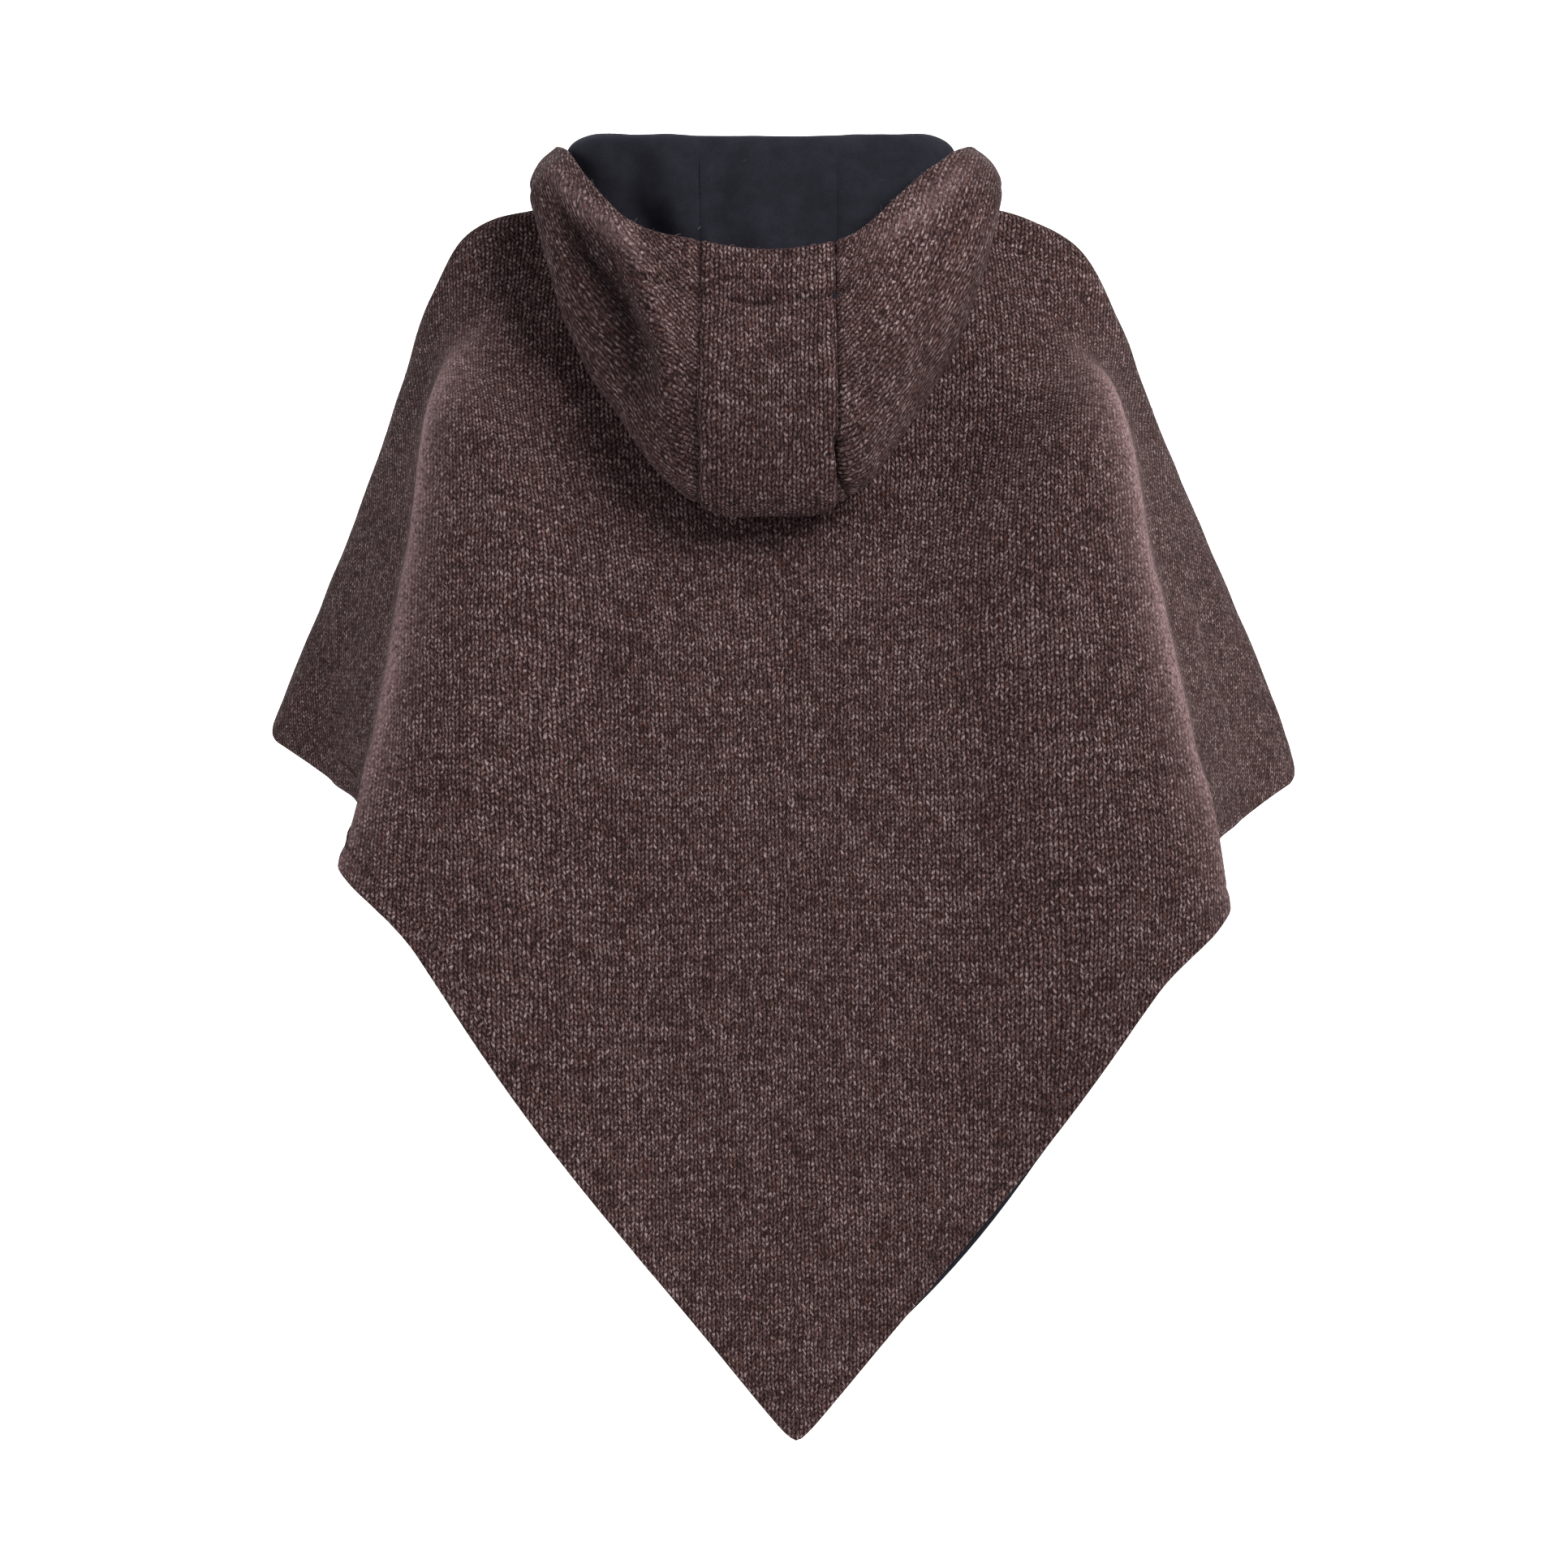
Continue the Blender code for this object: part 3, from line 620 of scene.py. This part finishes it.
def bodySheet(face, columns, rows):
    # the outer face of a panel with its relief, as a grid, and its flat places
    across = np.broadcast_to(edgeSteps(columns), (rows + 1, columns + 1))
    share = np.linspace(0.0, 1.0, rows + 1)[:, None]
    limit = hemLimit(across) - panel["hemRound"] / lineLength(across)
    fine = mix(share ** 1.1, 1.0 - (1.0 - share) ** 1.7, share ** 3)
    down = limit * fine
    points = bodyPoint(across, down, face)
    flat = bodyFlat(across, down)
    normal = gridNormals(points, face)
    hemDistance = (limit - down) * lineLength(across) + panel["hemRound"]
    ridgeOut = readTable(("out", "up"), overarmCut, down.ravel())["out"].reshape(down.shape)
    fromRidge = (np.abs(across) - ridgeAcross(down)) * ridgeOut
    fromSeam = (1.0 - np.abs(across)) * ridgeOut
    grown = ease(0.30, 0.46, down)
    lift = panel["ridgeRise"] * hump(fromRidge, panel["ridgeWidth"]) * grown
    # painted highlight along each ridge, fading in below the shoulders and easing off towards the hem
    paintedLight = 0.62 * hump(fromRidge, 0.0060) + 0.22 * hump(fromRidge + 0.006, 0.016)
    paintedLight *= ease(0.28, 0.50, down) * (1.0 - 0.45 * ease(0.75, 1.0, down))
    paintedLight *= 0.85 + 0.3 * ripple(points, 0.03, 9.0)
    lift -= panel["troughDepth"] * hump(fromRidge - panel["troughOut"], panel["troughWidth"]) * grown
    lift -= panel["seamGroove"] * hump(fromSeam, panel["seamWidth"])
    if face < 0:
        lift += foldRelief(points, backFolds)
    lift += panel["unevenness"] * ripple(points, 0.085, 2.0 + face) * ease(0.0, 0.03, fromSeam + 0.006)
    lift += 0.45 * panel["unevenness"] * ripple(points, 0.030, 5.0 + face)
    lift *= ease(0.0, 0.05, down)
    lift += hemRelief(hemDistance) * (1.0 - 0.85 * ease(0.78, 0.90, np.abs(across)))
    points = points + normal * lift[..., None]
    return points, flat, gridNormals(points, face), paintedLight


def turnedHem(points, flat, normal):
    # the hem rounds over and goes up the inside of the panel
    downward = points[-1] - points[-2]
    downward -= normal[-1] * (downward * normal[-1]).sum(axis=-1, keepdims=True)
    downward /= np.linalg.norm(downward, axis=-1, keepdims=True)
    extra, extraFlat = [], []
    flatStep = flat[-1] - flat[-2]
    flatWay = flatStep / np.linalg.norm(flatStep, axis=-1, keepdims=True)
    radius = panel["hemRound"]
    for turn in np.linspace(0.0, math.pi, 7)[1:]:
        sunk = normal[-1] * radius * (1.0 - math.cos(turn))
        extra.append(points[-1] + downward * radius * math.sin(turn) - sunk)
        extraFlat.append(flat[-1] + flatWay * radius * turn)
    for back in np.linspace(0.0, panel["hemTurn"], 6)[1:]:
        extra.append(points[-1] - downward * back - normal[-1] * 2.0 * radius)
        extraFlat.append(flat[-1] + flatWay * (radius * math.pi + back))
    return np.concatenate([points, np.array(extra)]), np.concatenate([flat, np.array(extraFlat)])


def turnedSides(points, flat, normal):
    # a narrow allowance turned in along both overarm seams
    sides = []
    plain = len(normal)
    fade = 1.0 - ease(0.80, 0.90, np.linspace(0.0, 1.0, plain))[:, None]
    for column, inside in ((0, 4), (-1, -5)):
        deep = points[:, column].copy()
        deep[:plain] -= normal[:, inside] * panel["seamTurn"] * fade
        sides.append(deep[:, None])
    aside = flat[:, :1] + (flat[:, :1] - flat[:, 1:2]), flat[:, -1:] + (flat[:, -1:] - flat[:, -2:-1])
    return (np.concatenate([sides[0], points, sides[1]], axis=1),
            np.concatenate([aside[0], flat, aside[1]], axis=1))


def makePanel(name, face, columns, rows):
    points, flat, normal, paintedLight = bodySheet(face, columns, rows)
    area = gridArea(flat)
    points, flat = turnedHem(points, flat, normal)
    points, flat = turnedSides(points, flat, normal)
    paintedLight = np.pad(paintedLight, ((0, points.shape[0] - paintedLight.shape[0]), (1, 1)))
    piece = sheetObject(name, points, flat, face, woolKnit, paintedLight)
    print(name, "made,", len(piece.data.polygons) * 2, "triangles, flat area", round(area, 3))
    return piece, area


backKnit, backArea = makePanel("backKnit", -1, panel["backColumns"], panel["backRows"])
frontKnit, frontArea = makePanel("frontKnit", 1, panel["frontColumns"], panel["frontRows"])


def liningEdge(across, peeks):
    # distance of the lining's edge from the hem; it shows below one stretch of the back hem
    past = (across - 0.26) / 0.10
    peek = np.maximum(0.0, 1.0 - past * past) if peeks else 0.0
    return mix(0.0015, -0.0034, peek)


def makeBodyLining(name, face, columns, rows):
    across = np.broadcast_to(edgeSteps(columns), (rows + 1, columns + 1)) * 0.998
    share = np.linspace(0.0, 1.0, rows + 1)[:, None]
    limit = hemLimit(across) - liningEdge(across, face < 0) / lineLength(across)
    down = limit * share
    points = bodyPoint(across, down, face)
    flat = bodyFlat(across, down)
    normal = gridNormals(points, face)
    sag = 0.0010 * ripple(points, 0.050, 9.0 + face) * (1.0 - ease(0.93, 1.0, share))
    lift = -panel["liningDepth"] + sag - 0.0006
    points = points + normal * lift[..., None]
    # the fleece is turned in at its edge, so that it has thickness there
    fold = points[-1] - normal[-1] * 0.0014
    points = np.concatenate([points, fold[None]])
    flat = np.concatenate([flat, flat[-1:] + 0.0014])
    piece = sheetObject(name, points, flat, -face, navyFleece)
    print(name, "made")
    return piece, gridArea(flat[:-1])


backFleece, backFleeceArea = makeBodyLining("backFleece", -1, 120, 110)
frontFleece, frontFleeceArea = makeBodyLining("frontFleece", 1, 100, 90)


# hood
hoodCloth = {
    "sideColumns": 150, "stripColumns": 60, "rows": 300, "liningColumns": 90, "liningRows": 130,
    "knitOut": 0.0031, "fleeceIn": 0.0016,
    "seamGroove": 0.0024, "seamWidth": 0.0021, "seamTurn": 0.0026,
    "lipRound": 0.0030,
    "casing": 0.036, "casingGroove": 0.0034, "casingWidth": 0.0030,
    "casingPuff": 0.0016, "casingStep": 0.0012,
}
# folds of the lowered hood, laid on the plane behind the garment
hoodFolds = (
    ("left rim roll", (-0.148, 0.018), (-0.102, -0.028), 0.0075, 0.0060),
    ("left trough", (-0.140, -0.010), (-0.090, -0.118), 0.017, -0.0150),
    ("left soft ridge", (-0.098, -0.030), (-0.066, -0.140), 0.0095, 0.0072),
    ("left seam hollow", (-0.064, -0.110), (-0.057, -0.175), 0.008, -0.0045),
    ("right pleat", (0.038, -0.165), (0.047, -0.200), 0.0032, -0.0065),
    ("right pleat swell", (0.052, -0.150), (0.064, -0.190), 0.010, 0.0030),
    ("right swell", (0.085, -0.030), (0.075, -0.110), 0.026, 0.0030),
    ("right rim", (0.070, -0.022), (0.125, 0.020), 0.010, 0.0020),
    ("right under hollow", (0.118, -0.040), (0.090, -0.105), 0.012, -0.0022),
    ("strip hollow", (-0.006, -0.070), (-0.004, -0.150), 0.020, -0.0016),
)
# painted light on the hood: painted highlight on its rims and soft ridge (above 0), painted shade in its
# trough and pleat (below 0)
hoodPaintedLight = (
    ("left rim", (-0.152, 0.020), (-0.098, -0.034), 0.0060, 0.30),
    ("left soft ridge", (-0.098, -0.034), (-0.070, -0.105), 0.0055, 0.14),
    ("left trough", (-0.140, -0.010), (-0.086, -0.125), 0.0175, -0.55),
    ("right rim", (0.074, -0.026), (0.130, 0.022), 0.0070, 0.22),
    ("right pleat", (0.038, -0.165), (0.047, -0.200), 0.0016, -0.90),
)
# soft upright folds of the lining inside the lowered hood
liningFolds = (
    ("left fold", (-0.072, 0.045), (-0.060, -0.040), 0.012, 0.0060),
    ("left hollow", (-0.100, 0.040), (-0.088, -0.030), 0.012, -0.0050),
    ("left inner fold", (-0.052, 0.030), (-0.046, -0.040), 0.007, 0.0022),
    ("middle fold", (-0.018, 0.045), (-0.014, -0.030), 0.009, 0.0028),
    ("middle hollow", (0.018, 0.045), (0.016, -0.030), 0.010, -0.0028),
    ("right fold", (0.052, 0.045), (0.050, -0.040), 0.009, 0.0040),
    ("right hollow", (0.078, 0.040), (0.070, -0.020), 0.011, -0.0040),
)


def hoodGrid(start, end, columns, rows):
    around = np.broadcast_to(np.linspace(start, end, columns + 1), (rows + 1, columns + 1))
    share = np.linspace(0.0, 1.0, rows + 1)[:, None]
    along = np.broadcast_to(share, around.shape)
    return around, along


def hoodForm(around, along):
    # the hood's sheet with its large folds, which knit and lining share
    points = hoodPoint(around, along)
    normal = gridNormals(points, 1.0)
    outer = ease(0.56, 0.66, along)
    inner = ease(0.10, 0.22, along) * (1.0 - ease(0.45, 0.55, along))
    lift = foldRelief(points, hoodFolds) * outer - foldRelief(points, liningFolds) * inner
    return points + normal * lift[..., None]


def makeHoodKnit(name, start, end, columns, rows):
    around, along = hoodGrid(start, end, columns, rows)
    points = hoodForm(around, along)
    strip = start < 0.0 < end
    flat = (hoodStripFlat if strip else hoodSideFlat)(around, along)
    normal = gridNormals(points, 1.0)
    length = np.linalg.norm(np.diff(points, axis=0), axis=-1)
    fromLip = np.concatenate([np.cumsum(length[::-1], axis=0)[::-1], np.zeros((1, points.shape[1]))])
    outer = ease(0.56, 0.66, along)
    seamGap = np.minimum(np.abs(around - start) if start != -hood["throat"] else 1.0,
                         np.abs(end - around) if end != hood["throat"] else 1.0)
    toSeam = seamGap * 0.25
    lift = np.full(around.shape, hoodCloth["knitOut"])
    lift -= hoodCloth["seamGroove"] * hump(toSeam, hoodCloth["seamWidth"])
    firm = 0.45 + 0.55 * ease(-0.35, 0.3, ripple(points, 0.02, 4.0))
    middle = 1.0 - 0.75 * ease(0.14, 0.45, np.abs(around))
    fromCasing = fromLip - hoodCloth["casing"]
    lift -= hoodCloth["casingGroove"] * hump(fromCasing, hoodCloth["casingWidth"]) * firm * middle
    lift += hoodCloth["casingStep"] * ease(-0.0015, 0.0015, -fromCasing) * middle
    lift += hoodCloth["casingPuff"] * hump(fromLip - 0.35 * hoodCloth["casing"], 0.012)
    lift += (0.0012 * ripple(points, 0.045, 7.0) + 0.0008 * ripple(points, 0.018, 3.0)) * outer
    # painted highlight and shade along the hood's folds, and painted shade along the casing crease and the
    # seams
    paintedLight = foldRelief(points, hoodPaintedLight) * outer
    paintedLight -= 0.55 * hump(fromCasing, 0.0016) * firm * middle
    paintedLight -= 0.26 * hump(toSeam, 0.0012) * outer * (1.0 + ripple(points, 0.012, 2.0))
    points = points + normal * lift[..., None]
    normal = gridNormals(points, 1.0)
    # the lip rounds over into the bag
    upward = points[-1] - points[-2]
    upward /= np.linalg.norm(upward, axis=-1, keepdims=True)
    radius = hoodCloth["lipRound"]
    flatStep = flat[-1] - flat[-2]
    flatWay = flatStep / np.maximum(np.linalg.norm(flatStep, axis=-1, keepdims=True), 1e-9)
    extra, extraFlat = [], []
    for turn in np.linspace(0.0, math.pi, 8)[1:]:
        sunk = normal[-1] * radius * (1.0 - math.cos(turn))
        extra.append(points[-1] + upward * radius * math.sin(turn) - sunk)
        extraFlat.append(flat[-1] + flatWay * radius * turn)
    for back in (0.003, 0.007, 0.012):
        extra.append(points[-1] - upward * back - normal[-1] * 2.0 * radius)
        extraFlat.append(flat[-1] + flatWay * (radius * math.pi + back))
    area = gridArea(flat)
    points = np.concatenate([points, np.array(extra)])
    flat = np.concatenate([flat, np.array(extraFlat)])
    # allowances turned in at the seams
    normal = gridNormals(points, 1.0)
    first = points[:, :1] - normal[:, :1] * hoodCloth["seamTurn"]
    last = points[:, -1:] - normal[:, -1:] * hoodCloth["seamTurn"]
    points = np.concatenate([first, points, last], axis=1)
    flat = np.concatenate([flat[:, :1], flat, flat[:, -1:]], axis=1)
    paintedLight = np.pad(paintedLight, ((0, points.shape[0] - paintedLight.shape[0]), (1, 1)), mode="edge")
    piece = sheetObject(name, points, flat, 1.0, woolKnit if strip else woolKnitLeaning, paintedLight)
    print(name, "made,", len(piece.data.polygons) * 2, "triangles, flat area", round(area, 3))
    return piece, area


def makeHoodLining(name, start, end, columns, rows):
    around, along = hoodGrid(start, end, columns, rows)
    along = along * 0.985
    points = hoodForm(around, along)
    strip = start < 0.0 < end
    flat = (hoodStripFlat if strip else hoodSideFlat)(around, along)
    normal = gridNormals(points, 1.0)
    inner = ease(0.10, 0.22, along) * (1.0 - ease(0.45, 0.55, along))
    seamGap = np.minimum(np.abs(around - start) if start != -hood["throat"] else 1.0,
                         np.abs(end - around) if end != hood["throat"] else 1.0)
    lift = np.full(around.shape, -hoodCloth["fleeceIn"])
    lift += 0.0013 * hump(seamGap * 0.25, 0.0017) * ease(0.16, 0.24, along)
    lift -= 0.0016 * (1.0 + ripple(points, 0.035, 6.0)) * inner
    points = points + normal * lift[..., None]
    piece = sheetObject(name, points, flat, -1.0, navyFleece)
    print(name, "made")
    return piece, gridArea(flat)


hoodSpans = {
    "Left": (-hood["throat"], -hood["seam"]),
    "Strip": (-hood["seam"], hood["seam"]),
    "Right": (hood["seam"], hood["throat"]),
}
hoodPieces = {}
for side, (start, end) in hoodSpans.items():
    columns = hoodCloth["stripColumns"] if side == "Strip" else hoodCloth["sideColumns"]
    hoodPieces["knit" + side] = makeHoodKnit("hoodKnit" + side, start, end, columns, hoodCloth["rows"])
    fine = 40 if side == "Strip" else hoodCloth["liningColumns"]
    hoodPieces["fleece" + side] = makeHoodLining(
        "hoodFleece" + side, start, end, fine, hoodCloth["liningRows"])


# loose fibres, scattered by geometry nodes
def fibreTree(name):
    tree = bpy.data.node_groups.new(name, "GeometryNodeTree")
    face = tree.interface
    face.new_socket("Geometry", in_out="INPUT", socket_type="NodeSocketGeometry")
    for label, kind in (("Density", "Float"), ("Length", "Float"), ("Thickness", "Float"),
                        ("Seed", "Int"), ("Finish", "Material")):
        face.new_socket(label, in_out="INPUT", socket_type="NodeSocket" + kind)
    face.new_socket("Geometry", in_out="OUTPUT", socket_type="NodeSocketGeometry")

    def add(kind, inputs=None, **settings):
        made = tree.nodes.new(kind)
        for key, value in settings.items():
            setattr(made, key, value)
        for key, value in (inputs or {}).items():
            if isinstance(value, bpy.types.NodeSocket):
                tree.links.new(value, made.inputs[key])
            else:
                made.inputs[key].default_value = value
        return made

    given = add("NodeGroupInput").outputs
    scatter = add("GeometryNodeDistributePointsOnFaces",
                  {"Mesh": given["Geometry"], "Density": given["Density"], "Seed": given["Seed"]})
    # four bent fibres, one unit long, flat ribbons of one unit's width
    shapes = (
        ((0.0, 0.0, 0.0), (0.25, 0.10, 0.35), (0.75, -0.15, 0.30), (1.0, 0.05, 0.10)),
        ((0.0, 0.0, 0.0), (0.10, 0.45, 0.30), (0.60, 0.55, 0.20), (0.70, 0.05, 0.25)),
        ((0.0, 0.0, 0.0), (0.35, -0.35, 0.10), (0.65, 0.45, 0.30), (1.0, 0.10, 0.45)),
        ((0.0, 0.0, 0.0), (0.05, 0.05, 0.50), (0.45, 0.35, 0.70), (0.55, -0.30, 0.40)),
    )
    joined = add("GeometryNodeGeometryToInstance")
    ribbon = add("GeometryNodeCurvePrimitiveLine",
                 {"Start": (0.0, -0.5, 0.0), "End": (0.0, 0.5, 0.0)})
    width = add("ShaderNodeMath", {0: given["Thickness"], 1: given["Length"]}, operation="DIVIDE")
    wide = add("ShaderNodeCombineXYZ", {0: width.outputs[0], 1: width.outputs[0], 2: width.outputs[0]})
    profile = add("GeometryNodeTransform", {"Geometry": ribbon.outputs[0], "Scale": wide.outputs[0]})
    for start, handleA, handleB, end in shapes:
        arc = add("GeometryNodeCurvePrimitiveBezierSegment",
                  {"Resolution": 5, "Start": start, "Start Handle": handleA,
                   "End Handle": handleB, "End": end},
                  mode="POSITION")
        strand = add("GeometryNodeCurveToMesh",
                     {"Curve": arc.outputs[0], "Profile Curve": profile.outputs[0]})
        tree.links.new(strand.outputs[0], joined.inputs[0])
    turn = add("FunctionNodeRandomValue", {0: (-0.5, -0.5, 0.0), 1: (0.5, 0.5, 6.283), "Seed": given["Seed"]},
               data_type="FLOAT_VECTOR")
    rotated = add("FunctionNodeRotateRotation", {"Rotation": scatter.outputs["Rotation"]},
                  rotation_space="LOCAL")
    spin = add("FunctionNodeEulerToRotation", {0: turn.outputs[0]})
    tree.links.new(spin.outputs[0], rotated.inputs[1])
    size = add("FunctionNodeRandomValue", {2: 0.45, 3: 1.35}, data_type="FLOAT")
    scaled = add("ShaderNodeMath", {0: size.outputs[1], 1: given["Length"]}, operation="MULTIPLY")
    which = add("FunctionNodeRandomValue", {4: 0, 5: len(shapes) - 1}, data_type="INT")
    placed = add("GeometryNodeInstanceOnPoints", {
        "Points": scatter.outputs["Points"], "Instance": joined.outputs[0], "Pick Instance": True,
        "Instance Index": which.outputs[2], "Rotation": rotated.outputs[0], "Scale": scaled.outputs[0]})
    real = add("GeometryNodeRealizeInstances", {"Geometry": placed.outputs[0]})
    coated = add("GeometryNodeSetMaterial", {"Geometry": real.outputs[0], "Material": given["Finish"]})
    out = add("NodeGroupOutput")
    tree.links.new(coated.outputs[0], out.inputs[0])
    return tree


fibres = fibreTree("looseFibres")


def scatterFibres(name, carrier, density, length, thickness, seed, finish):
    holder = bpy.data.objects.new(name + "Maker", carrier.data)
    bpy.context.collection.objects.link(holder)
    modifier = holder.modifiers.new("fibres", "NODES")
    modifier.node_group = fibres
    values = {"Density": density, "Length": length, "Thickness": thickness, "Seed": seed, "Finish": finish}
    for item in fibres.interface.items_tree:
        if item.in_out == "INPUT" and item.name in values:
            modifier[item.identifier] = values[item.name]
    graph = bpy.context.evaluated_depsgraph_get()
    mesh = bpy.data.meshes.new_from_object(holder.evaluated_get(graph))
    mesh.name = name
    holder.modifiers.remove(modifier)
    bpy.data.objects.remove(holder, do_unlink=True)
    piece = bpy.data.objects.new(name, mesh)
    bpy.context.collection.objects.link(piece)
    print(name, "made,", sum(len(p.vertices) - 2 for p in mesh.polygons), "triangles")
    return piece


fuzz = {
    "back": (9000.0, 0.0048, 0.00018), "hood": (10000.0, 0.0048, 0.00018),
    "lint": (420.0, 0.0036, 0.00014),
}
density, length, thickness = fuzz["back"]
fuzzPieces = [
    (scatterFibres("backFuzz", backKnit, density, length, thickness, 3, woolFibre), "wool_knit", backKnit),
    (scatterFibres("frontFuzz", frontKnit, 0.5 * density, length, thickness, 8, woolFibre),
     "wool_knit", frontKnit),
]
density, length, thickness = fuzz["hood"]
for i, side in enumerate(hoodSpans):
    carrier = hoodPieces["knit" + side][0]
    made = scatterFibres("hoodFuzz" + side, carrier, density, length, thickness, 12 + i, woolFibre)
    fuzzPieces.append((made, "wool_knit", carrier))
density, length, thickness = fuzz["lint"]
for i, side in enumerate(hoodSpans):
    carrier = hoodPieces["fleece" + side][0]
    made = scatterFibres("hoodLint" + side, carrier, density, length, thickness, 21 + i, paleLint)
    fuzzPieces.append((made, "navy_fleece", carrier))


# the pieces on the frame
bodySize = (bodyCut["width"], bodyCut["length"])
stripSize = (2.0 * hoodCut["stripHalf"], hoodCut["strip"])
sideSize = (hoodCut["neckHalf"], hoodCut["height"])
pieceRows = [
    (backKnit, "back_panel", "wool_knit", bodySize, backArea, ["neck"]),
    (frontKnit, "front_panel", "wool_knit", bodySize, frontArea, ["neck"]),
    (backFleece, "back_lining", "navy_fleece", bodySize, backFleeceArea, ["backKnit"]),
    (frontFleece, "front_lining", "navy_fleece", bodySize, frontFleeceArea, ["frontKnit"]),
]
for side in hoodSpans:
    node = {"Left": "hood_left", "Strip": "hood_center", "Right": "hood_right"}[side]
    for kind, suffix, slotName in (("knit", "", "wool_knit"), ("fleece", "_lining", "navy_fleece")):
        piece, area = hoodPieces[kind + side]
        size = stripSize if side == "Strip" else sideSize
        pieceRows.append((piece, node + suffix, slotName, size, area, ["backKnit"]))
for piece, node, slotName, size, area, rests in pieceRows:
    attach(piece, "root")
    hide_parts(node)
    loose = [made for made, _, carrier in fuzzPieces if carrier == piece]
    min(area, size[0] * size[1])
    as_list(rests)
for made, slotName, carrier in fuzzPieces:
    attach(made, "root")
print("pieces placed")


# studio
studio = {
    "cameraAt": (0.005, -5.0, -0.3965), "lens": 163.7, "sensor": 36.0,
    "wallBehind": 3.2, "floorAt": -1.60, "coveRadius": 1.2, "halfWidth": 3.5, "floorFront": -1.0,
    "paper": (0.92, 0.92, 0.92, 1.0), "glow": 0.90, "sky": 0.10,
}


def makeStudio():
    # one sheet of pale paper: floor, cove and wall
    line = [(studio["floorFront"], studio["floorAt"])]
    radius = studio["coveRadius"]
    for i in range(25):
        turn = 0.5 * math.pi * i / 24
        line.append((studio["wallBehind"] - radius + radius * math.sin(turn),
                     studio["floorAt"] + radius - radius * math.cos(turn)))
    line.append((studio["wallBehind"], studio["floorAt"] + 8.0))
    half = studio["halfWidth"]
    points = [(x, y, z) for y, z in line for x in (-half, half)]
    faces = [(2 * i, 2 * i + 1, 2 * i + 3, 2 * i + 2) for i in range(len(line) - 1)]
    mesh = bpy.data.meshes.new("paperSweep")
    mesh.from_pydata(points, [], faces)
    mesh.shade_smooth()
    paper = bpy.data.materials.new("palePaper")
    paper.use_nodes = True
    shader = paper.node_tree.nodes["Principled BSDF"]
    shader.inputs["Base Color"].default_value = studio["paper"]
    shader.inputs["Roughness"].default_value = 0.9
    shader.inputs["Emission Color"].default_value = (1.0, 1.0, 1.0, 1.0)
    shader.inputs["Emission Strength"].default_value = studio["glow"]
    mesh.materials.append(paper)
    sweep = bpy.data.objects.new("paperSweep", mesh)
    bpy.context.collection.objects.link(sweep)
    return sweep


def makeLight(name, place, aim, size, power, color):
    data = bpy.data.lights.new(name, "AREA")
    data.shape, data.size, data.energy, data.color = "SQUARE", size, power, color
    light = bpy.data.objects.new(name, data)
    light.location = place
    light.rotation_euler = (Vector(aim) - Vector(place)).to_track_quat("-Z", "Y").to_euler()
    bpy.context.collection.objects.link(light)
    return light


makeStudio()
makeLight("keySoftbox", (2.2, -2.3, 1.9), (0.0, 0.0, -0.15), 1.9, 200.0, (1.0, 0.985, 0.98))
makeLight("fillSoftbox", (-3.4, -1.8, 0.7), (0.0, 0.0, -0.3), 1.8, 75.0, (0.99, 0.985, 1.0))
makeLight("cameraSoftbox", (0.3, -4.4, 0.9), (0.0, 0.0, -0.3), 2.2, 12.0, (1.0, 1.0, 1.0))
makeLight("frontSoftbox", (0.0, 3.0, 1.2), (0.0, 0.0, -0.3), 2.0, 50.0, (1.0, 1.0, 1.0))

world = bpy.data.worlds.new("studioAir")
world.use_nodes = True
air = world.node_tree.nodes["Background"]
air.inputs["Color"].default_value = (1.0, 1.0, 1.0, 1.0)
air.inputs["Strength"].default_value = studio["sky"]
bpy.context.scene.world = world

lensData = bpy.data.cameras.new("camera")
lensData.lens, lensData.sensor_width = studio["lens"], studio["sensor"]
lensData.clip_end = 60.0
camera = bpy.data.objects.new("camera", lensData)
camera.location = studio["cameraAt"]
camera.rotation_euler = (0.5 * math.pi, 0.0, 0.0)
bpy.context.collection.objects.link(camera)
bpy.context.scene.camera = camera
bpy.context.scene.view_settings.view_transform = "Standard"
